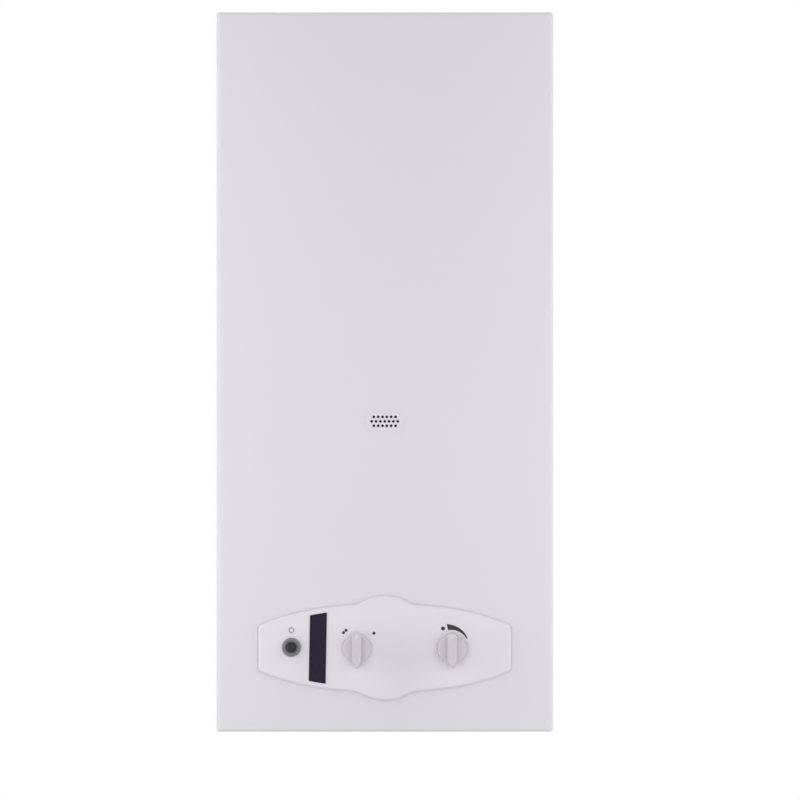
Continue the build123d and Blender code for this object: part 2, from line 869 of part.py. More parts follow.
def make_water_cover():
    cover = rod("X", servo_y, controls_z, housing_radius, diaphragm_right, cover_right)
    cover = chamfer(cover.faces().sort_by(Axis.X)[-1].edges(), cover_edge)
    cover += rod("X", servo_y, controls_z, cover_boss_radius, cover_right, cover_boss_right)
    cavity_right = diaphragm_right + cover_cavity_depth
    cover -= rod("X", servo_y, controls_z, housing_cavity, diaphragm_right, cavity_right)
    cover -= rod("X", servo_y, controls_z, servo_rod_radius + turn_gap, diaphragm_right, cover_boss_right)
    for y, z in cover_screw_places():
        cover -= rod("X", y, z, cover_screw_radius + turn_gap, diaphragm_right, cover_right)
    return cover


def make_cover_screws():
    screws = []
    for y, z in cover_screw_places():
        head = hex_bar("X", y, z, cover_screw_head * 2, cover_right, cover_right + cover_screw_head_height)
        shank = rod("X", y, z, cover_screw_radius, diaphragm_left - cover_screw_grip, cover_right)
        screws.append(head + shank)
    return screws


def make_servo_plate():
    plate = rod("X", servo_y, controls_z, servo_plate_radius, servo_plate_left,
                servo_plate_left + servo_plate_thickness)
    return plate + rod("X", servo_y, controls_z, servo_rod_radius, servo_plate_left, gas_disc_left)


def make_water_gland():
    front = water_body_front - water_gland_length
    nut = hex_bar("Y", water_knob_x, controls_z, water_gland_flats, front, water_body_front)
    nut = chamfer(nut.faces().sort_by(Axis.Y)[0].edges(), nut_edge)
    return nut - rod("Y", water_knob_x, controls_z, spindle_radius + turn_gap, front, water_body_front)


def make_drain_plug():
    z = controls_z - valve_half_height / 2
    start = water_body_left - drain_length
    plug = hex_bar("X", servo_y, z, drain_flats, start, water_body_left)
    return chamfer(plug.faces().sort_by(Axis.X)[0].edges(), nut_edge)


# Gas valve.
def make_gas_body():
    body = block(gas_body_left, gas_body_right, gas_body_front, gas_body_back, valve_bottom, valve_top)
    body = chamfer(body.edges().filter_by(Axis.Y), gas_body_edge)
    body -= rod("X", servo_y, controls_z, servo_rod_radius + turn_gap, gas_body_left, gas_seat_left)
    body -= rod("X", servo_y, controls_z, gas_seat_radius, gas_seat_left, gas_seat_right)
    body -= rod("X", servo_y, controls_z, gas_chamber_radius, gas_seat_right, gas_body_right)
    body -= rod("Z", gas_inlet_x, servo_y, gas_bore, valve_bottom, controls_z)
    body -= rod("Z", riser_x, servo_y, riser_radius - pipe_wall, controls_z, valve_top)
    body -= rod("Y", gas_knob_x, controls_z, gas_gland_neck, gas_body_front, cock_front)
    body -= rod("Y", gas_knob_x, controls_z, cock_radius, cock_front, cock_back)
    body -= rod("Y", gas_knob_x, controls_z, cock_passage, cock_back, servo_y)
    return body


def make_gas_gland():
    front = gas_body_front - gas_gland_length
    nut = hex_bar("Y", gas_knob_x, controls_z, gas_gland_flats, front, gas_body_front)
    nut = chamfer(nut.faces().sort_by(Axis.Y)[0].edges(), nut_edge)
    nut += rod("Y", gas_knob_x, controls_z, gas_gland_neck - turn_gap, gas_body_front, cock_front)
    return nut - rod("Y", gas_knob_x, controls_z, spindle_radius + turn_gap, front, cock_front)


def make_gas_disc():
    return rod("X", servo_y, controls_z, gas_disc_radius, gas_disc_left, gas_disc_left + gas_disc_thickness)


def make_disc_spring():
    start = gas_disc_left + gas_disc_thickness + seat_gap
    return spring("X", servo_y, controls_z, disc_spring_radius, start, gas_chamber_right, disc_spring_turns)


def make_gas_cap():
    plug = rod("X", servo_y, controls_z, gas_chamber_radius - turn_gap, gas_chamber_right, gas_body_right)
    flange = rod("X", servo_y, controls_z, cap_flange_radius, gas_body_right, gas_body_right + cap_flange)
    return plug + chamfer(flange.faces().sort_by(Axis.X)[-1].edges(), nut_edge)


def make_magnet_unit():
    start = gas_body_right
    end = start + magnet_length
    body = rod("X", magnet_y, controls_z, magnet_radius, start, end)
    body = chamfer(body.faces().sort_by(Axis.X)[-1].edges(), magnet_edge)
    return body + hex_bar("X", magnet_y, controls_z, magnet_nut_flats, end, magnet_end)


# Connections.
def make_connection_bracket():
    wall_side = -plate_sheet
    body = block(connection_left, connection_right, connection_front, wall_side,
                 connection_bottom, valve_bottom)
    body += block(connection_left, connection_right, wall_side - bracket_plate, wall_side,
                  valve_bottom, valve_bottom + connection_flange)
    body -= prism("Z", air_windows(), connection_bottom, valve_bottom)
    for x in (cold_x, hot_x):
        body -= neck_hole(x, water_thread_radius)
    return body - neck_hole(gas_inlet_x, gas_thread_radius)


def neck_hole(x, thread):
    return rod("Z", x, servo_y, thread - neck_relief + hole_gap, connection_bottom, valve_bottom)


def air_windows():
    pitch = (connection_right - connection_left - 2 * air_window_margin) / air_window_count
    front = servo_y + air_window_from_pipes
    depth = -air_window_from_wall - front
    window = RectangleRounded(pitch - air_window_rib, depth, air_window_corner)
    first_x = connection_left + air_window_margin + pitch / 2
    y = front + depth / 2
    return Sketch() + [Pos(first_x + number * pitch, y) * window for number in range(air_window_count)]


def make_nipple(x, thread, flats, bore):
    body = rod("Z", x, servo_y, thread - neck_relief, connection_bottom, valve_bottom)
    body += hex_bar("Z", x, servo_y, flats, hex_bottom, connection_bottom)
    body += rod("Z", x, servo_y, thread, thread_end, hex_bottom)
    return body - rod("Z", x, servo_y, bore, thread_end, valve_bottom)


def make_water_nipple(x):
    return make_nipple(x, water_thread_radius, water_hex_flats, waterway)


# Pipework.
def make_cold_pipe():
    points = [
        (cold_x, servo_y, valve_top),
        (cold_x, servo_y, cold_run_z),
        (coil_x, servo_y, cold_run_z),
        (coil_x, servo_y, coil_start_z),
    ]
    return bent_pipe(points, pipe_bend, pipe_radius, pipe_radius - pipe_wall)


def make_hot_pipe():
    points = [
        (-tube_end, tube_last_y, tube_z),
        (hot_pipe_x, tube_last_y, tube_z),
        (hot_pipe_x, tube_last_y, hot_pipe_low_z),
        (hot_x, servo_y, (hot_pipe_low_z + valve_bottom) / 2),
        (hot_x, servo_y, valve_bottom),
    ]
    return bent_pipe(points, pipe_bend, pipe_radius, pipe_radius - pipe_wall)


def make_gas_riser():
    top = manifold_z - manifold_size / 2
    points = [
        (riser_x, servo_y, valve_top),
        (riser_x, servo_y, riser_run_z),
        (riser_x, manifold_y, riser_run_z),
        (riser_x, manifold_y, top),
    ]
    return bent_pipe(points, riser_bend, riser_radius, riser_radius - pipe_wall)


def make_union_nuts():
    nuts = []
    for x, bottom in ((cold_x, valve_top), (hot_x, valve_bottom), (coil_x, coil_start_z - union_length / 2)):
        nut = hex_bar("Z", x, servo_y, union_flats, bottom, bottom + union_length)
        nuts.append(nut - rod("Z", x, servo_y, pipe_radius + turn_gap, bottom, bottom + union_length))
    top = manifold_z - manifold_size / 2
    for y, bottom in ((servo_y, valve_top), (manifold_y, top - riser_union_length)):
        nut = hex_bar("Z", riser_x, y, riser_union_flats, bottom, bottom + riser_union_length)
        nuts.append(nut - rod("Z", riser_x, y, riser_radius + turn_gap, bottom, bottom + riser_union_length))
    return nuts


# Burner, manifold and pilot.
def bar_places():
    return [(number - (bar_count - 1) / 2) * bar_pitch for number in range(bar_count)]


def make_burner_bars():
    front = burner_frame_front + burner_sheet
    back = burner_frame_back - burner_sheet
    half = bar_width / 2
    crown_z = bar_top_z - half
    bar = block(-half, half, front, back, bar_top_z - bar_height, crown_z)
    bar += rod("Y", 0, crown_z, half, front, back)
    slot_pitch = (back - front) / (bar_slot_count + 1)
    for number in range(bar_slot_count):
        y = front + (number + 1) * slot_pitch
        bar -= block(-half, half, y - bar_slot / 2, y + bar_slot / 2, bar_top_z - bar_slot_depth, bar_top_z)
    return [Pos(x, 0, 0) * bar for x in bar_places()]


def make_burner_frame():
    w = burner_frame_width / 2
    t = burner_sheet
    body = block(-w, w, burner_frame_front, burner_frame_back, burner_frame_bottom, chamber_bottom)
    body += prism("Z", firebox_plan(0), chamber_bottom - t, chamber_bottom)
    body -= block(t - w, w - t, burner_frame_front + t, burner_frame_back - t, burner_frame_bottom,
                  chamber_bottom)
    for x in bar_places():
        body -= rod("Y", x, manifold_z, venturi_hole, burner_frame_front, burner_frame_front + t)
    for side in (1, -1):
        inner = side * manifold_length / 2
        outer = side * (manifold_length / 2 + bracket_ear)
        low = manifold_z - manifold_size / 2
        high = manifold_z + manifold_size / 2
        body += block(inner, outer, manifold_y - manifold_size / 2, burner_frame_front, low, high)
    return body


def make_manifold():
    half = manifold_size / 2
    inner = half - manifold_wall
    length = manifold_length / 2
    body = block(-length, length, manifold_y - half, manifold_y + half, manifold_z - half, manifold_z + half)
    body -= block(-length, length, manifold_y - inner, manifold_y + inner, manifold_z - inner,
                  manifold_z + inner)
    for x in bar_places():
        body -= rod("Y", x, manifold_z, injector_shank + turn_gap, manifold_y, manifold_y + half)
    top = manifold_z - half
    return body - rod("Z", riser_x, manifold_y, riser_radius - pipe_wall, top, top + manifold_wall)


def make_injectors():
    injectors = []
    seat = manifold_y + manifold_size / 2
    for x in bar_places():
        body = hex_bar("Y", x, manifold_z, injector_flats, seat, seat + injector_hex_length)
        body += rod("Y", x, manifold_z, injector_shank, seat - manifold_wall, seat)
        body += rod("Y", x, manifold_z, injector_nozzle, seat + injector_hex_length, seat + injector_length)
        injectors.append(body)
    return injectors


def make_pilot_bracket():
    left = electrode_x - bar_pitch / 2
    right = pilot_x + bar_pitch / 2
    tab_top = pilot_tab_z + pilot_sheet
    body = block(left, right, burner_frame_front - pilot_sheet, burner_frame_front, pilot_tab_z,
                 pilot_tab_z + pilot_plate_height)
    body += block(left, right, burner_frame_front - pilot_tab_reach, burner_frame_front, pilot_tab_z, tab_top)
    body -= rod("Z", pilot_x, pilot_y, pilot_bore, pilot_tab_z, tab_top)
    body -= rod("Z", thermocouple_x, pilot_y, probe_radius + turn_gap, pilot_tab_z, tab_top)
    return body - rod("Z", electrode_x, pilot_y, lead_radius + turn_gap, pilot_tab_z, tab_top)


def make_pilot_burner():
    foot = pilot_tab_z + pilot_sheet
    top = foot + pilot_height
    body = rod("Z", pilot_x, pilot_y, pilot_radius, foot, top)
    body -= rod("Z", pilot_x, pilot_y, pilot_bore, foot, top - pilot_cap)
    left = pilot_x - pilot_mouth_width / 2
    mouth_foot = top - pilot_cap - pilot_mouth_height
    return body - block(left, left + pilot_mouth_width, pilot_y, pilot_y + pilot_radius,
                        mouth_foot, top - pilot_cap)


def make_electrode():
    foot = pilot_tab_z + pilot_sheet
    top = foot + ceramic_height
    ceramic = rod("Z", electrode_x, pilot_y, ceramic_radius, foot, top)
    ceramic = chamfer(ceramic.faces().sort_by(Axis.Z)[-1].edges(), nut_edge)
    return ceramic + rod("Z", electrode_x, pilot_y, electrode_pin, top, top + electrode_pin_height)


def make_thermocouple():
    probe_foot = pilot_tab_z - probe_below_tab
    probe = rod("Z", thermocouple_x, pilot_y, probe_radius, probe_foot, probe_foot + probe_height)
    points = [
        (magnet_end, magnet_y, controls_z),
        (capillary_side_x, magnet_y, controls_z),
        (capillary_side_x, magnet_y, capillary_run_z),
        (thermocouple_x, pilot_y, capillary_run_z),
        (thermocouple_x, pilot_y, probe_foot),
    ]
    return probe + lead("thermocouple", points, capillary_radius)


def make_pilot_tube():
    start_x = gas_body_left + pilot_tube_from_left
    start_y = gas_body_front + pilot_tube_from_front
    points = [
        (start_x, start_y, valve_top),
        (start_x, start_y, pilot_run_z),
        (pilot_x, pilot_y, pilot_run_z),
        (pilot_x, pilot_y, pilot_tab_z + pilot_sheet),
    ]
    return lead("pilot tube", points, pilot_tube_radius)


def make_ignition_lead():
    turn_y = piezo_terminal_y + lead_run
    points = [
        (piezo_x, piezo_terminal_y, piezo_z),
        (piezo_x, turn_y, piezo_z),
        (piezo_x, turn_y, piezo_z + lead_rise),
        (electrode_x, pilot_y, pilot_run_z),
        (electrode_x, pilot_y, pilot_tab_z + pilot_sheet),
    ]
    return lead("ignition lead", points, lead_radius)


# Firebox and heat exchanger.
def firebox_plan(inset):
    width = chamber_width - 2 * inset
    depth = chamber_depth - 2 * inset
    return Pos(0, firebox_y) * RectangleRounded(width, depth, chamber_corner - inset)


def firebox_wall(bottom, top):
    return prism("Z", firebox_plan(0) - firebox_plan(firebox_sheet), bottom, top)


def make_chamber():
    body = firebox_wall(chamber_bottom, chamber_top)
    half = window_width / 2
    rise = window_height / 2
    return body - block(-half, half, chamber_front, chamber_front + firebox_sheet,
                        sight_z - rise, sight_z + rise)


def make_mica():
    half = window_width / 2 + mica_margin
    rise = window_height / 2 + mica_margin
    return block(-half, half, chamber_front - mica_thickness, chamber_front, sight_z - rise, sight_z + rise)


def make_coil():
    corners = [(coil_x, coil_front), (-coil_x, coil_front), (-coil_x, coil_back), (coil_x, coil_back)]
    points = [(coil_x, servo_y, coil_start_z), (coil_x, servo_y, coil_first_z)]
    rise = coil_pitch / 4
    for number in range(4 * coil_turns):
        x, y = corners[number % 4]
        points.append((x, y, coil_first_z + (number + 1) * rise))
    last_z = coil_first_z + (4 * coil_turns + 1) * rise
    points.append((coil_riser_x, tube_first_y, last_z))
    points.append((coil_riser_x, tube_first_y, tube_z))
    points.append((tube_end, tube_first_y, tube_z))
    bends = [pipe_bend] + [coil_bend] * (4 * coil_turns) + [pipe_bend, pipe_bend]
    return bent_pipe(points, bends, pipe_radius, pipe_radius - pipe_wall)


def tube_places():
    return [tube_first_y + number * exchanger_tube_pitch for number in range(exchanger_tube_count)]


def make_exchanger_shell():
    body = firebox_wall(chamber_top, exchanger_top)
    for y in tube_places():
        body -= rod("X", y, tube_z, exchanger_tube + fin_hole_gap, -chamber_width / 2, chamber_width / 2)
    return body


def make_fins():
    sketch = Pos(firebox_y, tube_z) * Rectangle(chamber_depth, fin_height)
    for y in tube_places():
        sketch -= Pos(y, tube_z) * Circle(exchanger_tube + fin_hole_gap)
    first = -(fin_count - 1) / 2 * fin_pitch
    fin = prism("X", sketch, first - fin_thickness / 2, first + fin_thickness / 2)
    inside = prism("Z", firebox_plan(firebox_sheet + seat_gap), chamber_top, exchanger_top)
    return [Pos(number * fin_pitch, 0, 0) * fin & inside for number in range(fin_count)]


def make_exchanger_tubes():
    bore = exchanger_tube - exchanger_tube_wall
    return [pipe_ring("X", y, tube_z, exchanger_tube, bore, -tube_end, tube_end) for y in tube_places()]


def make_return_bends():
    places = tube_places()
    bends = []
    for number in range(exchanger_tube_count - 1):
        side = -1 if number % 2 == 0 else 1
        x = side * tube_end
        start = (x, places[number], tube_z)
        end = (x, places[number + 1], tube_z)
        top = (x + side * exchanger_tube_pitch / 2, (places[number] + places[number + 1]) / 2, tube_z)
        path = ThreePointArc(start, top, end)
        section = Plane(origin=path @ 0, z_dir=path % 0)
        outside = sweep(section * Circle(exchanger_tube), path=path)
        bends.append(outside - sweep(section * Circle(exchanger_tube - exchanger_tube_wall), path=path))
    return bends


def hood_body(inset, bottom, top):
    upper = hood_top - 2 * inset
    skirt = prism("Z", firebox_plan(inset), bottom, hood_skirt_top)
    high_face = Pos(0, firebox_y) * RectangleRounded(upper, upper, chamber_corner - inset)
    low_face = Pos(0, 0, hood_skirt_top) * firebox_plan(inset)
    return skirt + loft([low_face, Pos(0, 0, top) * high_face], ruled=True)


def make_hood():
    body = hood_body(0, exchanger_top, hood_top_z)
    body -= hood_body(firebox_sheet, exchanger_top, hood_top_z - firebox_sheet)
    body -= rod("Z", 0, firebox_y, flue_stop_radius, hood_top_z - 2 * firebox_sheet, hood_top_z)
    low = exchanger_top + (hood_skirt - spill_slot_height) / 2
    high = low + spill_slot_height
    return body - block(-spill_slot_half, spill_slot_half, chamber_front, chamber_front + firebox_sheet,
                        low, high)


def make_baffle():
    z = exchanger_top + baffle_rise
    share = (baffle_rise + firebox_sheet - hood_skirt) / (hood_height - firebox_sheet - hood_skirt)
    lower = chamber_width / 2 - firebox_sheet
    upper = hood_top / 2 - firebox_sheet
    half = lower + (upper - lower) * share - seat_gap
    front = firebox_y - baffle_depth / 2
    return block(-half, half, front, front + baffle_depth, z, z + firebox_sheet)


def make_collar():
    body = rod("Z", 0, firebox_y, flue_outside, hood_top_z, flue_rim_z)
    body += rod("Z", 0, firebox_y, flue_outside + flue_flange, hood_top_z, hood_top_z + flue_wall)
    return body - rod("Z", 0, firebox_y, flue_radius, hood_top_z, flue_rim_z)


def make_thermostats():
    made = []
    spill_height = exchanger_top + hood_skirt / 2
    for x, z in ((overheat_x, tube_z), (spill_x, spill_height)):
        base_front = chamber_front - thermostat_base
        cap_front = base_front - thermostat_cap
        body = rod("Y", x, z, thermostat_radius, base_front, chamber_front)
        body += rod("Y", x, z, thermostat_cap_radius, cap_front, base_front)
        for side in (1, -1):
            middle = x + side * thermostat_cap_radius / 2
            half = blade_thickness / 2
            body += block(middle - half, middle + half, cap_front - blade_length, cap_front,
                          z - blade_width / 2, z + blade_width / 2)
        made.append(body)
    return made


save("back_plate", make_back_plate())
save("front_case", make_front_case())
save("case_screws", *make_case_screws())
save("control_fascia", make_fascia())
save("fascia_strip", make_fascia_strip())
save("fascia_nuts", *make_peg_nuts())
save("water_knob", make_knob(water_knob_x, water_knob_base))
save("water_knob_dot", make_dot(water_knob_x, water_knob_base))
save("water_spindle", make_water_spindle())
save("gas_knob", make_knob(gas_knob_x, gas_knob_base))
save("gas_knob_dot", make_dot(gas_knob_x, gas_knob_base))
save("gas_spindle", make_gas_spindle())
save("gas_push_rod", make_gas_push_rod())
save("gas_push_spring", make_push_spring())
save("piezo_bezel", make_piezo_bezel())
save("piezo_button", make_piezo_button())
save("piezo_spring", make_button_spring())
save("piezo_body", make_piezo_body())
save("piezo_nut", make_piezo_nut())
save("ignition_lead", make_ignition_lead())
save("water_valve_body", make_water_body())
save("diaphragm", make_diaphragm())
save("water_valve_cover", make_water_cover())
save("cover_screws", *make_cover_screws())
save("servo_plate", make_servo_plate())
save("water_gland", make_water_gland())
save("drain_plug", make_drain_plug())
save("gas_valve_body", make_gas_body())
save("gas_gland", make_gas_gland())
save("gas_disc", make_gas_disc())
save("gas_disc_spring", make_disc_spring())
save("gas_valve_cap", make_gas_cap())
save("magnet_unit", make_magnet_unit())
save("connection_bracket", make_connection_bracket())
save("water_nipples", make_water_nipple(cold_x), make_water_nipple(hot_x))
save("gas_nipple", make_nipple(gas_inlet_x, gas_thread_radius, gas_hex_flats, gas_bore))
save("cold_pipe", make_cold_pipe())
save("hot_pipe", make_hot_pipe())
save("gas_riser", make_gas_riser())
save("union_nuts", *make_union_nuts())
save("burner_bars", *make_burner_bars())
save("burner_frame", make_burner_frame())
save("gas_manifold", make_manifold())
save("injectors", *make_injectors())
save("pilot_bracket", make_pilot_bracket())
save("pilot_burner", make_pilot_burner())
save("ignition_electrode", make_electrode())
save("thermocouple", make_thermocouple())
save("pilot_tube", make_pilot_tube())
save("combustion_chamber", make_chamber())
save("sight_mica", make_mica())
save("heating_coil", make_coil())
save("exchanger_shell", make_exchanger_shell())
save("fin_pack", *make_fins())
save("exchanger_tubes", *make_exchanger_tubes())
save("return_bends", *make_return_bends())
save("draught_hood", make_hood())
save("baffle", make_baffle())
save("flue_collar", make_collar())
save("limit_thermostats", *make_thermostats())
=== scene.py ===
import json
import math

import bmesh
import bpy
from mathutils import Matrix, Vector


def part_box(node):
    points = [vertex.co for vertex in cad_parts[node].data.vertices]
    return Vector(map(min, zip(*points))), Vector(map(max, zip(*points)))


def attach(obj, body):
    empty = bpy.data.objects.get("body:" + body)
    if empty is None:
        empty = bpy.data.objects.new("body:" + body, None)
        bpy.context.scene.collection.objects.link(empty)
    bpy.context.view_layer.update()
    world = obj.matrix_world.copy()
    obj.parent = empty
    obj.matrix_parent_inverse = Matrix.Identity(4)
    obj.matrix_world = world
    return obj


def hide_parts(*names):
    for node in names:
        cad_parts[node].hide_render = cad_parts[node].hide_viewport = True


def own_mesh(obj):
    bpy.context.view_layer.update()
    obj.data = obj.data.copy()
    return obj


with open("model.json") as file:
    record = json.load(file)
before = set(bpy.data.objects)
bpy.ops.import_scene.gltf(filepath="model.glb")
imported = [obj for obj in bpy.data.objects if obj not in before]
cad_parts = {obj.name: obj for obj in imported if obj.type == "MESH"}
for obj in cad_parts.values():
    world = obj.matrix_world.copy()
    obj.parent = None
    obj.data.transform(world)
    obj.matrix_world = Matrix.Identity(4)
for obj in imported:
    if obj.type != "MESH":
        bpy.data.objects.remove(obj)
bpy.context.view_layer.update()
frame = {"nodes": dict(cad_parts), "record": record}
nodes = frame["nodes"]
record = frame["record"]
slotOf = {part["node"]: part["material_slot"] for part in record["subparts"]}
print("frame loaded:", len(nodes), "nodes")

mm = 0.001


def middleOf(node):
    # x and z of the middle of a CAD node's box
    low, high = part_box(node)
    return (low.x + high.x) / 2, (low.z + high.z) / 2


def linked(name, data):
    # an object in the scene that shows the data
    made = bpy.data.objects.new(name, data)
    bpy.context.scene.collection.objects.link(made)
    return made


def linear(colour):
    # sRGB numbers from 0 to 1 into the linear ones that the sockets take
    return tuple(c / 12.92 if c <= 0.04045 else ((c + 0.055) / 1.055) ** 2.4 for c in colour)


class Signal:
    # a socket, wrapped so that sums and products on it add Math nodes
    def __init__(self, finish, socket):
        self.finish = finish
        self.socket = socket

    def maths(self, operation, first, second):
        return self.finish.add("ShaderNodeMath", {"operation": operation}, {0: first, 1: second})

    def __add__(self, other):
        return self.maths("ADD", self, other)

    def __radd__(self, other):
        return self.maths("ADD", other, self)

    def __mul__(self, other):
        return self.maths("MULTIPLY", self, other)

    def __rmul__(self, other):
        return self.maths("MULTIPLY", other, self)

    def larger(self, other):
        return self.maths("MAXIMUM", self, other)

    def out(self, name):
        # another output of the same node
        return Signal(self.finish, self.socket.node.outputs[name])


class Finish:
    # the nodes of one material, or of the world where that is given
    coatRoughness = 0.1

    def __init__(self, name, world=None):
        self.owner = bpy.data.materials.new(name) if world is None else world
        self.owner.use_nodes = True
        self.tree = self.owner.node_tree
        self.tree.nodes.clear()
        if world is None:
            self.place = self.add("ShaderNodeTexCoord", {}, {}).out("Object")

    def add(self, kind, settings, inputs):
        # one node, with values or links for its sockets; gives its first output
        node = self.tree.nodes.new(kind)
        for name, value in settings.items():
            if name == "stops":
                ramp = node.color_ramp
                while len(ramp.elements) < len(value):
                    ramp.elements.new(0.5)
                for element, (position, colour) in zip(ramp.elements, value):
                    element.position = position
                    element.color = (*colour, 1.0)
            else:
                setattr(node, name, value)
        for name, value in inputs.items():
            socket = node.inputs[name]
            if isinstance(value, Signal):
                self.tree.links.new(value.socket, socket)
            else:
                socket.default_value = value
        return Signal(self, node.outputs[0]) if node.outputs else node

    def noise(self, scale, detail, roughness=0.5, stretch=None):
        where = self.place
        if stretch is not None:
            where = self.add("ShaderNodeMapping", {}, {"Vector": self.place, "Scale": stretch})
        return self.add("ShaderNodeTexNoise", {"noise_dimensions": "3D"}, {
            "Vector": where, "Scale": scale, "Detail": detail, "Roughness": roughness}).out("Fac")

    def span(self, value, fromLow, fromHigh, toLow=0.0, toHigh=1.0):
        return self.add("ShaderNodeMapRange", {"clamp": True}, {
            "Value": value, "From Min": fromLow, "From Max": fromHigh, "To Min": toLow, "To Max": toHigh})

    def tint(self, share, first, second):
        # share 0 shows the first colour and 1 the second; sockets 6 and 7 and output 2 carry colours
        def ready(colour):
            return colour if isinstance(colour, Signal) else (*linear(colour), 1.0)
        return self.add("ShaderNodeMix", {"data_type": "RGBA"}, {
            0: share, 6: ready(first), 7: ready(second)}).out(2)

    def ramp(self, value, stops):
        return self.add("ShaderNodeValToRGB", {
            "stops": [(position, linear(colour)) for position, colour in stops]}, {"Fac": value})

    def axis(self, name):
        return self.add("ShaderNodeSeparateXYZ", {}, {0: self.place}).out(name)

    def bump(self, height, distance, strength=1.0):
        return self.add("ShaderNodeBump", {}, {"Strength": strength, "Distance": distance, "Height": height})

    def done(self, colour, roughness, normal, metallic=0.0, coat=0.0, specular=0.5, alpha=1.0):
        shader = self.add("ShaderNodeBsdfPrincipled", {}, {
            "Base Color": colour, "Roughness": roughness, "Metallic": metallic, "Coat Weight": coat,
            "Coat Roughness": self.coatRoughness, "Specular IOR Level": specular, "Alpha": alpha,
            "Normal": normal})
        self.add("ShaderNodeOutputMaterial", {}, {"Surface": shader})
        return self.owner


# In the dictionaries of the finishes, a grain is one noise: its scale, detail, roughness and stretch.
# Colours are sRGB. A relief is the height of a bump in metres.

# finishes in which one fine grain carries the colour, the roughness and the relief
grainLook = {
    "black print": {"grain": (2600.0, 2.0), "tints": ((0.045, 0.042, 0.050), (0.085, 0.080, 0.092)),
                    "roughness": (0.42, 0.1), "relief": 0.000006},
    "grey print": {"grain": (2600.0, 2.0), "tints": ((0.60, 0.585, 0.62), (0.67, 0.655, 0.69)),
                   "roughness": (0.45, 0.1), "relief": 0.000006},
    "white inlay": {"grain": (1800.0, 2.0), "tints": ((0.875, 0.868, 0.882), (0.85, 0.844, 0.86)),
                    "roughness": (0.30, 0.08), "relief": 0.000008},
    "drawn spring wire": {"grain": (1400.0, 2.0), "tints": ((0.52, 0.53, 0.55), (0.68, 0.69, 0.71)),
                          "roughness": (0.25, 0.15), "relief": 0.00001, "metallic": 1.0},
    "black moulding": {"grain": (1600.0, 2.0), "tints": ((0.10, 0.10, 0.11), (0.15, 0.15, 0.16)),
                       "roughness": (0.48, 0.15), "relief": 0.00003},
    "black rubber": {"grain": (700.0, 4.0), "tints": ((0.09, 0.09, 0.09), (0.16, 0.155, 0.15)),
                     "roughness": (0.62, 0.2), "relief": 0.00005},
    "thin copper fins": {"grain": (60.0, 4.0), "tints": ((0.88, 0.60, 0.46), (0.64, 0.42, 0.33)),
                         "roughness": (0.32, 0.15), "relief": 0.00003, "metallic": 1.0},
    "glazed ceramic": {"grain": (300.0, 2.0), "tints": ((0.93, 0.915, 0.88), (0.87, 0.85, 0.80)),
                       "roughness": (0.16, 0.08), "relief": 0.00002, "coat": 0.5},
    "thermostat cap": {"grain": (1200.0, 2.0), "tints": ((0.42, 0.42, 0.42), (0.56, 0.555, 0.55)),
                       "roughness": (0.32, 0.15), "relief": 0.00002, "metallic": 0.8},
}


def grained(name):
    look = grainLook[name]
    f = Finish(name)
    grain = f.noise(*look["grain"])
    base, change = look["roughness"]
    return f.done(f.tint(grain, *look["tints"]), base + grain * change, f.bump(grain, look["relief"]),
                  metallic=look.get("metallic", 0.0), coat=look.get("coat", 0.0))


enamelLook = {"white": (0.875, 0.866, 0.888), "warm": (0.870, 0.861, 0.883), "speck": (0.84, 0.83, 0.845),
              "cloudGrain": (5.0, 1.0), "peelGrain": (620.0, 1.0), "wearGrain": (70.0, 3.0),
              "speckGrain": (2400.0, 1.0), "roughness": 0.33, "change": (-0.02, 0.03),
              "relief": 0.000006, "coat": 0.15}


def bakedEnamel():
    # powder enamel on sheet: slight orange peel, and faint clouds in the white
    look = enamelLook
    f = Finish("baked enamel")
    clouds = f.noise(*look["cloudGrain"])
    peel = f.noise(*look["peelGrain"])
    wear = f.noise(*look["wearGrain"])
    specks = f.span(f.noise(*look["speckGrain"]), 0.70, 0.78, 0.0, 0.25)
    colour = f.tint(f.span(clouds, 0.2, 0.8), look["white"], look["warm"])
    colour = f.tint(specks, colour, look["speck"])
    roughness = look["roughness"] + f.span(wear, 0.2, 0.8, *look["change"])
    return f.done(colour, roughness, f.bump(peel, look["relief"]), coat=look["coat"])


zincLook = {"light": (0.72, 0.73, 0.74), "dark": (0.63, 0.643, 0.655), "spangleScale": 110.0,
            "streakGrain": (24.0, 4.0, 0.6, (1.0, 1.0, 14.0)), "dullGrain": (18.0, 3.0),
            "roughness": 0.30, "relief": 0.00003, "reliefStrength": 0.6, "metallic": 0.85}


def zincSheet():
    # galvanised sheet: crystals of different greys, with faint rolling lines
    look = zincLook
    f = Finish("zinc coated sheet")
    crystal = f.add("ShaderNodeTexVoronoi", {"feature": "F1"}, {
        "Vector": f.place, "Scale": look["spangleScale"], "Randomness": 1.0}).out("Color")
    shade = f.add("ShaderNodeSeparateColor", {}, {0: crystal})
    streak = f.noise(*look["streakGrain"])
    mixed = f.span(shade * 0.7 + streak * 0.5, 0.25, 0.85)
    colour = f.tint(mixed, look["dark"], look["light"])
    dull = f.noise(*look["dullGrain"])
    roughness = look["roughness"] + shade * 0.14 + f.span(dull, 0.35, 0.7, 0.0, 0.12)
    relief = f.bump(shade * 0.3 + streak, look["relief"], look["reliefStrength"])
    return f.done(colour, roughness, relief, metallic=look["metallic"])


fastenerLook = {"grey": (0.72, 0.72, 0.70), "yellow": (0.82, 0.80, 0.72),
                "ringGrain": (900.0, 2.0, 0.5, (1.0, 0.15, 0.15)), "wearGrain": (160.0, 3.0),
                "roughness": 0.26, "relief": 0.00002}


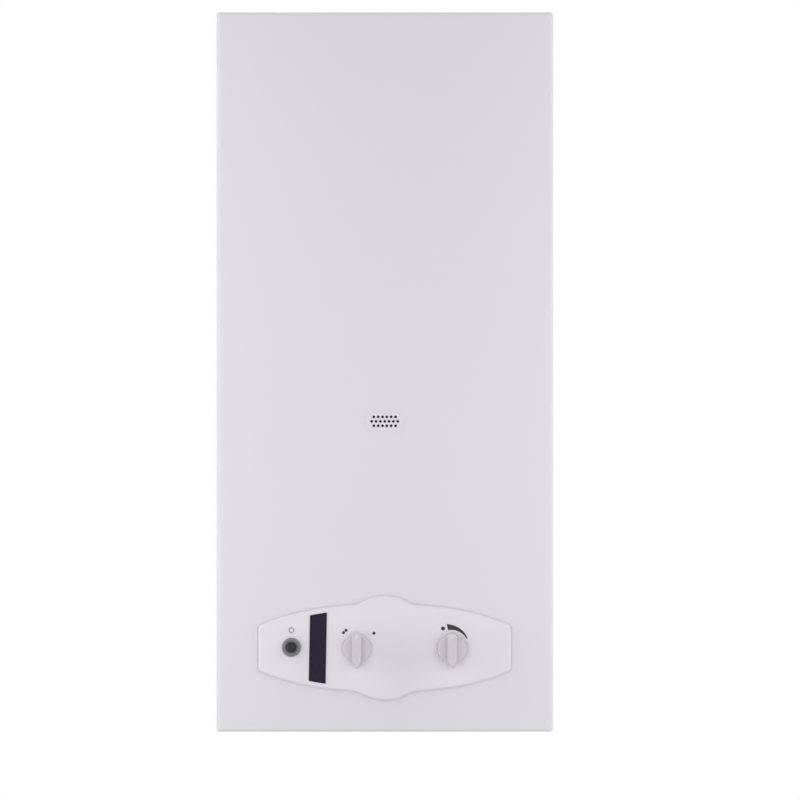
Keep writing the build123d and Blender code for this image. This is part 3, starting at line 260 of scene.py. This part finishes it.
def turnedZinc():
    look = fastenerLook
    f = Finish("zinc plated fastener")
    rings = f.noise(*look["ringGrain"])
    wear = f.noise(*look["wearGrain"])
    colour = f.tint(f.span(wear, 0.35, 0.7), look["grey"], look["yellow"])
    return f.done(colour, look["roughness"] + rings * 0.18, f.bump(rings, look["relief"]), metallic=1.0)


fasciaLook = {"white": (0.895, 0.884, 0.910), "shaded": (0.888, 0.878, 0.904), "sparkGrain": (3800.0, 1.0),
              "flowGrain": (22.0, 2.0, 0.5, (1.0, 1.0, 2.5)), "roughness": 0.36, "change": (-0.03, 0.05),
              "relief": 0.000008}


def fasciaPlastic():
    # satin injection moulding with a very fine spark texture
    look = fasciaLook
    f = Finish("satin white moulding")
    spark = f.noise(*look["sparkGrain"])
    flow = f.noise(*look["flowGrain"])
    colour = f.tint(f.span(flow, 0.35, 0.65), look["white"], look["shaded"])
    roughness = look["roughness"] + f.span(spark, 0.3, 0.7, *look["change"])
    return f.done(colour, roughness, f.bump(spark, look["relief"]))


knobLook = {"clean": (0.818, 0.802, 0.826), "handled": (0.803, 0.789, 0.810), "sparkGrain": (3200.0, 1.0),
            "handledGrain": (90.0, 3.0), "roughness": 0.33, "relief": 0.000010}


def knobPlastic():
    look = knobLook
    f = Finish("satin knob moulding")
    spark = f.noise(*look["sparkGrain"])
    handled = f.noise(*look["handledGrain"])
    colour = f.tint(f.span(handled, 0.35, 0.7), look["clean"], look["handled"])
    return f.done(colour, look["roughness"] + handled * 0.1, f.bump(spark, look["relief"]))


filmLook = {"deep": (0.140, 0.120, 0.185), "light": (0.160, 0.140, 0.205), "scuff": (0.25, 0.23, 0.30),
            "depthGrain": (300.0, 2.0), "scuffGrain": (1500.0, 2.0, 0.5, (1.0, 1.0, 0.06)),
            "roughness": 0.34, "relief": 0.00001, "specular": 0.08}


def navyFilm():
    # dark film with a few upright scuffs
    look = filmLook
    f = Finish("navy film")
    depth = f.noise(*look["depthGrain"])
    scuffs = f.span(f.noise(*look["scuffGrain"]), 0.62, 0.72, 0.0, 0.12)
    colour = f.tint(f.span(depth, 0.3, 0.7), look["deep"], look["light"])
    colour = f.tint(scuffs, colour, look["scuff"])
    return f.done(colour, look["roughness"] + scuffs * 0.8, f.bump(depth, look["relief"]),
                  specular=look["specular"])


turnedLook = {"bright": (0.86, 0.73, 0.45), "dull": (0.66, 0.52, 0.30),
              "ringGrain": (1100.0, 2.0, 0.5, (0.1, 1.0, 0.1)), "tarnishGrain": (120.0, 4.0, 0.6),
              "roughness": 0.22, "relief": 0.00002}


def turnedBrass():
    look = turnedLook
    f = Finish("turned brass")
    rings = f.noise(*look["ringGrain"])
    tarnish = f.noise(*look["tarnishGrain"])
    colour = f.tint(f.span(tarnish, 0.4, 0.75), look["bright"], look["dull"])
    roughness = look["roughness"] + rings * 0.18 + tarnish * 0.08
    return f.done(colour, roughness, f.bump(rings, look["relief"]), metallic=1.0)


forgedLook = {"stops": [(0.32, (0.50, 0.38, 0.22)), (0.48, (0.72, 0.58, 0.34)), (0.66, (0.82, 0.69, 0.43))],
              "pitGrain": (900.0, 5.0, 0.65), "tarnishGrain": (70.0, 5.0, 0.6),
              "dullest": 0.46, "brightest": 0.30, "relief": 0.00007}


def forgedBrass():
    # hot stamped and tumbled: fine pits, darker in the low places
    look = forgedLook
    f = Finish("forged brass")
    pits = f.noise(*look["pitGrain"])
    tarnish = f.noise(*look["tarnishGrain"])
    colour = f.ramp(tarnish * 0.7 + pits * 0.3, look["stops"])
    roughness = f.span(tarnish, 0.3, 0.7, look["dullest"], look["brightest"])
    return f.done(colour, roughness, f.bump(pits, look["relief"]), metallic=1.0)


# the inner tints and the near black by the button are painted shade of the recess round the button, not the
# moulding's own colour
bezelLook = {"outer": ((0.47, 0.465, 0.49), (0.53, 0.52, 0.545)),
             "inner": ((0.32, 0.315, 0.335), (0.37, 0.365, 0.385)),
             "cupShade": (0.13, 0.13, 0.14), "cupRadius": 4.4, "innerRadius": 4.9, "outerRadius": 8.2,
             "sparkGrain": (2600.0, 1.0), "rubbedGrain": (200.0, 3.0), "roughness": 0.26, "relief": 0.00001}


def bezelPlastic():
    # painted shade: the ring is darker towards the button, and the recess round the button is painted near
    # black as its shadow
    look = bezelLook
    f = Finish("grey bezel moulding")
    spark = f.noise(*look["sparkGrain"])
    rubbed = f.noise(*look["rubbedGrain"])
    outer = f.tint(rubbed, *look["outer"])
    inner = f.tint(rubbed, *look["inner"])
    middleX, middleZ = middleOf("piezo_bezel")
    flat = f.add("ShaderNodeVectorMath", {"operation": "MULTIPLY"}, {0: f.place, 1: (1.0, 0.0, 1.0)})
    reach = f.add("ShaderNodeVectorMath", {"operation": "DISTANCE"}, {
        0: flat, 1: (middleX, 0.0, middleZ)}).out("Value")
    # painted shade: the ring darkens towards the button and turns near black inside the recess
    ring = f.tint(f.span(reach, look["innerRadius"] * mm, look["outerRadius"] * mm), inner, outer)
    colour = f.tint(f.span(reach, look["cupRadius"] * mm, look["innerRadius"] * mm), look["cupShade"], ring)
    return f.done(colour, look["roughness"] + rubbed * 0.12, f.bump(spark, look["relief"]))


buttonLook = {"tints": ((0.105, 0.103, 0.116), (0.15, 0.148, 0.162)), "sparkGrain": (2600.0, 1.0),
              "rubbedGrain": (240.0, 3.0), "roughness": 0.28, "relief": 0.000012, "specular": 0.25}


def buttonPlastic():
    look = buttonLook
    f = Finish("black button moulding")
    spark = f.noise(*look["sparkGrain"])
    rubbed = f.noise(*look["rubbedGrain"])
    colour = f.tint(rubbed, *look["tints"])
    return f.done(colour, look["roughness"] + rubbed * 0.15, f.bump(spark, look["relief"]),
                  specular=look["specular"])


sheathLook = {"red": (0.58, 0.16, 0.13), "dusty": (0.66, 0.34, 0.30), "dustGrain": (500.0, 4.0),
              "roughness": 0.50, "relief": 0.00003}


def siliconeSheath():
    look = sheathLook
    f = Finish("red silicone sheath")
    dust = f.noise(*look["dustGrain"])
    colour = f.tint(f.span(dust, 0.45, 0.75, 0.0, 0.5), look["red"], look["dusty"])
    return f.done(colour, look["roughness"] + dust * 0.2, f.bump(dust, look["relief"]))


alloyLook = {"stops": [(0.3, (0.58, 0.585, 0.59)), (0.55, (0.68, 0.685, 0.69)), (0.75, (0.74, 0.745, 0.75))],
             "skinGrain": (1300.0, 4.0, 0.7), "flowGrain": (45.0, 4.0), "roughness": 0.40,
             "relief": 0.00006, "metallic": 0.9}


def castAlloy():
    look = alloyLook
    f = Finish("die cast alloy")
    skin = f.noise(*look["skinGrain"])
    flow = f.noise(*look["flowGrain"])
    return f.done(f.ramp(flow, look["stops"]), look["roughness"] + skin * 0.2, f.bump(skin, look["relief"]),
                  metallic=look["metallic"])


copperLook = {"bright": (0.90, 0.60, 0.45), "worn": (0.70, 0.42, 0.30), "tarnish": (0.42, 0.27, 0.22),
              "cloudGrain": (38.0, 5.0, 0.6), "lineGrain": (500.0, 3.0, 0.5, (1.0, 1.0, 0.2)),
              "spotGrain": (240.0, 4.0, 0.7), "roughness": 0.24, "relief": 0.00003}


def drawnCopper():
    # drawn and handled: rosy, with brown clouds and faint draw lines
    look = copperLook
    f = Finish("drawn copper")
    clouds = f.noise(*look["cloudGrain"])
    lines = f.noise(*look["lineGrain"])
    spots = f.span(f.noise(*look["spotGrain"]), 0.60, 0.75, 0.0, 0.7)
    colour = f.tint(f.span(clouds, 0.38, 0.66), look["bright"], look["worn"])
    colour = f.tint(spots, colour, look["tarnish"])
    roughness = look["roughness"] + f.span(clouds, 0.3, 0.7, 0.0, 0.16) + spots * 0.2
    return f.done(colour, roughness, f.bump(lines, look["relief"]), metallic=1.0)


burnerLook = {"stops": [(0.0, (0.66, 0.65, 0.63)), (0.45, (0.66, 0.58, 0.44)), (0.72, (0.48, 0.37, 0.34)),
                        (0.95, (0.36, 0.38, 0.47))],
              "heatBelow": 0.022, "heatAbove": 0.002, "waver": 0.010, "waverGrain": (90.0, 3.0),
              "lineGrain": (700.0, 3.0, 0.5, (1.0, 0.06, 1.0)), "roughness": 0.30, "relief": 0.00003}


def burnerSteel():
    # stainless that has been hot: straw and blue near the flame ports
    look = burnerLook
    f = Finish("heat tinted steel")
    height = f.axis("Z")
    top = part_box("burner_bars")[1].z
    wavering = height + f.noise(*look["waverGrain"]) * look["waver"]
    heat = f.span(wavering, top - look["heatBelow"], top + look["heatAbove"])
    colour = f.ramp(heat, look["stops"])
    lines = f.noise(*look["lineGrain"])
    return f.done(colour, look["roughness"] + lines * 0.2, f.bump(lines, look["relief"]), metallic=1.0)


micaLook = {"tints": ((0.62, 0.56, 0.46), (0.78, 0.72, 0.60)), "flakeGrain": (140.0, 4.0, 0.6),
            "roughness": 0.14, "relief": 0.00003, "alpha": 0.45}


def clearMica():
    look = micaLook
    f = Finish("clear mica")
    flakes = f.noise(*look["flakeGrain"])
    colour = f.tint(flakes, *look["tints"])
    return f.done(colour, look["roughness"] + flakes * 0.18, f.bump(flakes, look["relief"]),
                  alpha=look["alpha"])


sheetLook = {"stops": [(0.3, (0.60, 0.61, 0.62)), (0.55, (0.72, 0.725, 0.73)), (0.8, (0.66, 0.65, 0.62))],
             "mattGrain": (1700.0, 3.0), "stainGrain": (28.0, 5.0, 0.6),
             "rolledGrain": (260.0, 3.0, 0.5, (0.08, 1.0, 1.0)), "roughness": 0.36, "relief": 0.00004,
             "metallic": 0.9}


def aluminisedSheet():
    look = sheetLook
    f = Finish("aluminised sheet")
    matt = f.noise(*look["mattGrain"])
    stains = f.noise(*look["stainGrain"])
    rolled = f.noise(*look["rolledGrain"])
    colour = f.ramp(stains, look["stops"])
    roughness = look["roughness"] + matt * 0.16 + f.span(stains, 0.4, 0.7, 0.0, 0.1)
    return f.done(colour, roughness, f.bump(matt * 0.5 + rolled, look["relief"]), metallic=look["metallic"])


finishes = {
    "white_enamel": bakedEnamel(),
    "zinc_sheet": zincSheet(),
    "zinc_fastener": turnedZinc(),
    "white_plastic": fasciaPlastic(),
    "navy_plate": navyFilm(),
    "knob_plastic": knobPlastic(),
    "dot_white": grained("white inlay"),
    "spindle_brass": turnedBrass(),
    "valve_brass": forgedBrass(),
    "spring_steel": grained("drawn spring wire"),
    "bezel_grey": bezelPlastic(),
    "button_black": buttonPlastic(),
    "black_plastic": grained("black moulding"),
    "lead_silicone": siliconeSheath(),
    "diaphragm_rubber": grained("black rubber"),
    "cast_alloy": castAlloy(),
    "copper": drawnCopper(),
    "fin_copper": grained("thin copper fins"),
    "burner_steel": burnerSteel(),
    "ceramic": grained("glazed ceramic"),
    "mica": clearMica(),
    "aluminised": aluminisedSheet(),
    "thermostat": grained("thermostat cap"),
}
for part in record["subparts"]:
    mesh = nodes[part["node"]].data
    mesh.materials.clear()
    mesh.materials.append(finishes[part["material_slot"]])
print("finishes made:", len(finishes))


def heaterPiece(name, points, faces, finish):
    # a new piece on the heater's body, with all its faces turned outwards
    data = bpy.data.meshes.new(name)
    data.from_pydata([tuple(p) for p in points], [], faces)
    build = bmesh.new()
    build.from_mesh(data)
    bmesh.ops.recalc_face_normals(build, faces=build.faces)
    build.to_mesh(data)
    build.free()
    piece = linked(name, data)
    data.materials.append(finish)
    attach(piece, "heater")
    return piece


def standIn(name, points, faces, node):
    # a piece of finer form in place of one CAD node, with that node's finish
    slot = slotOf[node]
    piece = heaterPiece(name, points, faces, finishes[slot])
    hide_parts(node)
    return piece


# millimetres: the thread's crest radius, the hexagon across its flats and the bore's radius
nippleLook = {
    "water_nipples": {"count": 2, "thread": 10.48, "flats": 27.0, "bore": 7.0},
    "gas_nipple": {"count": 1, "thread": 13.22, "flats": 32.0, "bore": 9.0},
}
threadLook = {"pitch": 1.814, "depth": 1.16, "chamfer": 1.5, "relief": 2.6, "neck": 0.7, "bracket": 2.5,
              "crestGain": 1.3, "crestDrop": 0.15, "hex": 8.5, "hexSteps": (0.0, 0.5, 1.0, 1.3),
              "hexFace": 1.01, "hexSlope": 1.73, "boreChamfer": 0.8, "sides": 96, "stepsPerPitch": 8}


def hexReach(flats, angle):
    # from the middle of a hexagon to its edge
    return flats / 2 / math.cos(angle % (math.tau / 6) - math.tau / 12)


def nippleStations(look, low, high):
    # heights from the bottom up, each with a function from an angle to the outer radius
    size = threadLook
    top = high - size["bracket"]
    foot = top - size["hex"]
    stations = []
    steps = round((foot - low) / size["pitch"] * size["stepsPerPitch"])
    for step in range(steps + 1):
        height = (foot - low) * step / steps

        def threadReach(angle, height=height):
            phase = (height / size["pitch"] + angle / math.tau) % 1.0
            crest = 1.0 - abs(2.0 * phase - 1.0)
            crest = min(max(crest * size["crestGain"] - size["crestDrop"], 0.0), 1.0)
            reach = look["thread"] - size["depth"] * (1.0 - crest)
            if height > foot - low - size["relief"]:
                reach = look["thread"] - size["depth"]
            return min(reach, look["thread"] - size["chamfer"] + height)
        stations.append((low + height, threadReach))
    hexHeights = [*size["hexSteps"], *(size["hex"] - step for step in reversed(size["hexSteps"]))]
    for height in hexHeights:
        edge = min(height, size["hex"] - height)

        def hexRound(angle, edge=edge):
            chamfered = look["flats"] / 2 * size["hexFace"] + edge * size["hexSlope"]
            return min(hexReach(look["flats"], angle), chamfered)
        stations.append((foot + height, hexRound))
    neck = look["thread"] - size["neck"]
    stations.append((top, lambda angle: neck))
    stations.append((high, lambda angle: neck))
    return stations


def threadedNipples(node):
    look = nippleLook[node]
    size = threadLook
    boxLow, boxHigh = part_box(node)
    centreY = (boxLow.y + boxHigh.y) / 2
    low, high = boxLow.z / mm, boxHigh.z / mm
    stations = nippleStations(look, low, high)
    bore = look["bore"]
    inside = [(high, bore), (low + size["boreChamfer"], bore), (low, bore + size["boreChamfer"])]
    sides = size["sides"]
    points = []
    faces = []
    # the CAD node's hexagons reach the ends of its box with their corners
    corner = look["flats"] / math.sqrt(3)
    firstX, lastX = boxLow.x / mm + corner, boxHigh.x / mm - corner
    for number in range(look["count"]):
        centreX = firstX + (lastX - firstX) * number / max(look["count"] - 1, 1)
        first = len(points)
        rings = stations + [(z, lambda angle, r=r: r) for z, r in inside]
        for z, reach in rings:
            for side in range(sides):
                angle = math.tau * side / sides
                r = reach(angle) * mm
                points.append((centreX * mm + r * math.cos(angle), centreY + r * math.sin(angle), z * mm))
        count = len(rings)
        for ring in range(count):
            after = (ring + 1) % count
            for side in range(sides):
                beside = (side + 1) % sides
                faces.append((first + ring * sides + side, first + ring * sides + beside,
                              first + after * sides + beside, first + after * sides + side))
    return standIn(f"threaded_{node}", points, faces, node)


for node in nippleLook:
    threadedNipples(node)
print("nipples threaded")


# springs wound in place of their CAD nodes: the axis is 0 for x and 1 for y, lengths in millimetres
springLook = {
    "gas_push_spring": {"axis": 1, "radius": 6.2, "turns": 7, "joint": "gas_knob_push", "travel": 3.5},
    "piezo_spring": {"axis": 1, "radius": 3.0, "turns": 8, "joint": "piezo_push", "travel": 4.0},
    "gas_disc_spring": {"axis": 0, "radius": 8.0, "turns": 7, "joint": "servo_lift", "travel": 3.0},
}
wireLook = {"radius": 0.6, "sides": 12, "stepsPerTurn": 32}


def closingSpring(node):
    look = springLook[node]
    low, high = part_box(node)
    along = look["axis"]
    across = (2, 0) if along == 1 else (1, 2)
    middle = (low + high) / 2
    wire = wireLook["radius"] * mm
    radius = look["radius"] * mm
    length = high[along] - low[along]
    steps = look["turns"] * wireLook["stepsPerTurn"]
    sides = wireLook["sides"]
    slope = (length - 2 * wire) / (math.tau * look["turns"] * radius)
    points = []
    for step in range(steps + 1):
        angle = math.tau * look["turns"] * step / steps
        centre = Vector(middle)
        centre[along] = low[along] + wire + (length - 2 * wire) * step / steps
        outward = Vector((0.0, 0.0, 0.0))
        outward[across[0]] = math.cos(angle)
        outward[across[1]] = math.sin(angle)
        forward = Vector((0.0, 0.0, 0.0))
        forward[across[0]] = -math.sin(angle)
        forward[across[1]] = math.cos(angle)
        forward[along] = slope
        third = forward.normalized().cross(outward)
        centre += outward * radius
        for side in range(sides):
            turn = math.tau * side / sides
            points.append(centre + (outward * math.cos(turn) + third * math.sin(turn)) * wire)
    faces = [tuple(range(sides)), tuple(range(steps * sides, (steps + 1) * sides))]
    for step in range(steps):
        for side in range(sides):
            beside = (side + 1) % sides
            faces.append((step * sides + side, step * sides + beside,
                          (step + 1) * sides + beside, (step + 1) * sides + side))
    piece = standIn(f"closing_{node}", points, faces, node)
    for face in piece.data.polygons:
        face.use_smooth = len(face.vertices) == 4
    anchor = Vector(middle)
    anchor[along] = high[along]
    direction = Vector((0.0, 0.0, 0.0))
    direction[along] = 1.0
    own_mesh(piece)


for node in springLook:
    closingSpring(node)
print("springs wound")


# Printed marks on the fascia. Dots are given as degrees clockwise from straight up, reach and radius in
# millimetres, and the wedge as its reach at the first and last of its degrees. Lift and sink are in metres.
markLook = {"waterDots": ((-40.5, 18.9, 1.45), (-31.0, 19.3, 1.45), (48.8, 20.9, 1.5)),
            "gasDot": (-24.2, 19.9, 1.85),
            "wedgeFrom": -12.0, "wedgeTo": 57.5, "wedgeOuter": (22.8, 17.0), "wedgeInner": (17.1, 16.1),
            "wedgeSteps": 36, "wedgeEase": 0.85, "ringRise": 15.7, "ringOuter": 2.75, "ringInner": 1.6,
            "circlePoints": 40, "lift": 0.00006, "sink": 0.00002}
# both knobs turn at the height that the record gives for the water knob's joint
knobTurn = next(joint for joint in record["behaviour"]["joints"] if joint["name"] == "water_knob_turn")
controlsZ = knobTurn["pos_m"][2]


def inlay(name, outline, finish, hole=None):
    # a thin printed layer in the fascia's face, inside an outline of x and z and outside a hole, which has
    # as many points as the outline
    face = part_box("control_fascia")[0].y
    rings = [outline] if hole is None else [outline, hole]
    count = len(outline)
    layer = count * len(rings)
    points = []
    for y in (face - markLook["lift"], face + markLook["sink"]):
        points += [(x, y, z) for ring in rings for x, z in ring]
    faces = []
    for first in (0, layer):
        if hole is None:
            faces.append(tuple(range(first, first + count)))
        else:
            for i in range(count):
                j = (i + 1) % count
                faces.append((first + i, first + j, first + count + j, first + count + i))
    for first in range(0, layer, count):
        for i in range(count):
            j = (i + 1) % count
            faces.append((first + i, first + j, layer + first + j, layer + first + i))
    heaterPiece(name, points, faces, finish)


def circle(x, z, radius):
    # the points of a circle, with its radius in millimetres
    count = markLook["circlePoints"]
    angles = [math.tau * i / count for i in range(count)]
    return [(x + radius * mm * math.cos(angle), z + radius * mm * math.sin(angle)) for angle in angles]


def around(centreX, degrees, reach):
    # degrees clockwise from straight up over a knob's axis, reach in millimetres
    angle = math.radians(degrees)
    return centreX + reach * mm * math.sin(angle), controlsZ + reach * mm * math.cos(angle)


def wedge(centreX):
    # a band along the gas knob's turn, which thins out clockwise
    look = markLook
    outer = []
    inner = []
    for step in range(look["wedgeSteps"] + 1):
        share = step / look["wedgeSteps"]
        degrees = look["wedgeFrom"] + (look["wedgeTo"] - look["wedgeFrom"]) * share
        ease = share ** look["wedgeEase"]
        for side, (first, last) in ((outer, look["wedgeOuter"]), (inner, look["wedgeInner"])):
            side.append(around(centreX, degrees, first * (1 - ease) + last * ease))
    return outer + inner[::-1]


waterX, gasX = middleOf("water_knob")[0], middleOf("gas_knob")[0]
black = grained("black print")
for number, (degrees, reach, radius) in enumerate(markLook["waterDots"]):
    inlay(f"water_mark_{number + 1}", circle(*around(waterX, degrees, reach), radius), black)
degrees, reach, radius = markLook["gasDot"]
inlay("gas_off_mark", circle(*around(gasX, degrees, reach), radius), black)
inlay("gas_wedge_mark", wedge(gasX), black)
buttonX, buttonZ = middleOf("piezo_bezel")
ringZ = buttonZ + markLook["ringRise"] * mm
inlay("igniter_mark", circle(buttonX, ringZ, markLook["ringOuter"]), grained("grey print"),
      hole=circle(buttonX, ringZ, markLook["ringInner"]))
print("marks printed")


# The floor is in metres, and fades into white between two distances from its middle. The lens, its sensor and
# a pixel at the casing's face are in millimetres. The picture and the casing's centre are in pixels.
studioLook = {"floorMiddle": (0.0, -0.11, -0.47), "floorSize": 3.0, "floorRows": 24,
              "fadeFrom": 0.30, "fadeTo": 0.46, "floorColour": (0.93, 0.93, 0.93),
              "white": (1.0, 1.0, 1.0, 1.0), "ambient": 0.39, "lens": 200.0, "sensor": 36.0,
              "picture": 800, "pixel": 0.92, "centrePixel": (384.7, 372.0)}


def seenWhite(finish):
    # 1 for rays from the camera, a mirror or glass, which then see plain white
    path = finish.add("ShaderNodeLightPath", {}, {})
    direct = path.out("Is Camera Ray")
    return direct.larger(path.out("Is Glossy Ray")).larger(path.out("Is Transmission Ray"))


def makeFloor():
    size = studioLook["floorSize"]
    rows = studioLook["floorRows"]
    middle = studioLook["floorMiddle"]
    points = []
    faces = []
    for i in range(rows + 1):
        for j in range(rows + 1):
            points.append((size * (i / rows - 0.5), size * (j / rows - 0.5) + middle[1], middle[2]))
    for i in range(rows):
        for j in range(rows):
            a = i * (rows + 1) + j
            faces.append((a, a + rows + 1, a + rows + 2, a + 1))
    data = bpy.data.meshes.new("floor")
    data.from_pydata(points, [], faces)
    floor = linked("floor", data)
    f = Finish("pale floor")
    offset = f.add("ShaderNodeVectorMath", {"operation": "SUBTRACT"}, {0: f.place, 1: middle})
    spread = f.add("ShaderNodeVectorMath", {"operation": "LENGTH"}, {0: offset}).out("Value")
    fade = f.span(spread, studioLook["fadeFrom"], studioLook["fadeTo"])
    matt = f.add("ShaderNodeBsdfDiffuse", {}, {"Color": (*linear(studioLook["floorColour"]), 1.0)})
    glow = f.add("ShaderNodeEmission", {}, {"Color": studioLook["white"], "Strength": 1.0})
    shader = f.add("ShaderNodeMixShader", {}, {0: fade * seenWhite(f), 1: matt, 2: glow})
    # seen from underneath, the floor is clear and leaves the pipes in view
    beneath = f.add("ShaderNodeNewGeometry", {}, {}).out("Backfacing")
    clear = f.add("ShaderNodeBsdfTransparent", {}, {})
    shader = f.add("ShaderNodeMixShader", {}, {0: beneath, 1: shader, 2: clear})
    f.add("ShaderNodeOutputMaterial", {}, {"Surface": shader})
    data.materials.append(f.owner)


def makeWorld():
    world = bpy.data.worlds.new("studio")
    bpy.context.scene.world = world
    f = Finish("studio", world)
    ambient = studioLook["ambient"]
    strength = ambient + seenWhite(f) * (1.0 - ambient)
    shader = f.add("ShaderNodeBackground", {}, {"Color": studioLook["white"], "Strength": strength})
    f.add("ShaderNodeOutputWorld", {}, {"Surface": shader})


def softLamp(name, place, aim, size, power, mirrored=True):
    lamp = bpy.data.lights.new(name, "AREA")
    lamp.shape = "RECTANGLE"
    lamp.size, lamp.size_y = size
    lamp.energy = power
    holder = linked(name, lamp)
    holder.visible_camera = False
    holder.visible_glossy = mirrored
    holder.location = place
    holder.rotation_euler = (Vector(aim) - Vector(place)).to_track_quat("-Z", "Y").to_euler()


# metres and watts; a lamp that isn't mirrored leaves no reflection of itself
lampLook = {
    "left front": {"place": (-0.85, -2.7, 0.0), "aim": (0.0, -0.2, -0.1), "size": (1.1, 1.1), "power": 10.1},
    "right front": {"place": (0.85, -2.7, 0.0), "aim": (0.0, -0.2, -0.1), "size": (1.1, 1.1), "power": 8.5},
    "left strip": {"place": (-0.62, -0.42, 0.05), "aim": (0.0, -0.2, 0.0), "size": (0.16, 1.1), "power": 2.1,
                   "mirrored": False},
    "right strip": {"place": (0.62, -0.42, 0.05), "aim": (0.0, -0.2, 0.0), "size": (0.16, 1.1), "power": 1.8,
                    "mirrored": False},
    "top": {"place": (0.0, -0.1, 2.3), "aim": (0.0, -0.1, 0.0), "size": (1.6, 1.6), "power": 7.0},
    "back": {"place": (0.3, 1.9, 1.0), "aim": (0.0, 0.0, 0.0), "size": (1.4, 1.0), "power": 20.0,
             "mirrored": False},
}


def makeCamera():
    data = bpy.data.cameras.new("camera")
    data.lens = studioLook["lens"]
    data.sensor_width = studioLook["sensor"]
    view = studioLook["picture"] * studioLook["pixel"] * mm
    distance = view * data.lens / data.sensor_width
    camera = linked("camera", data)
    # the photograph's middle pixel lies a little right of and below the casing's middle
    half = studioLook["picture"] / 2
    x = (half - studioLook["centrePixel"][0]) * studioLook["pixel"] * mm
    z = (studioLook["centrePixel"][1] - half) * studioLook["pixel"] * mm
    camera.location = (x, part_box("front_case")[0].y - distance, z)
    camera.rotation_euler = (math.pi / 2, 0.0, 0.0)
    bpy.context.scene.camera = camera


makeFloor()
makeWorld()
for name, look in lampLook.items():
    softLamp(f"{name} lamp", **look)
makeCamera()
bpy.context.scene.view_settings.view_transform = "Standard"
print("studio ready")
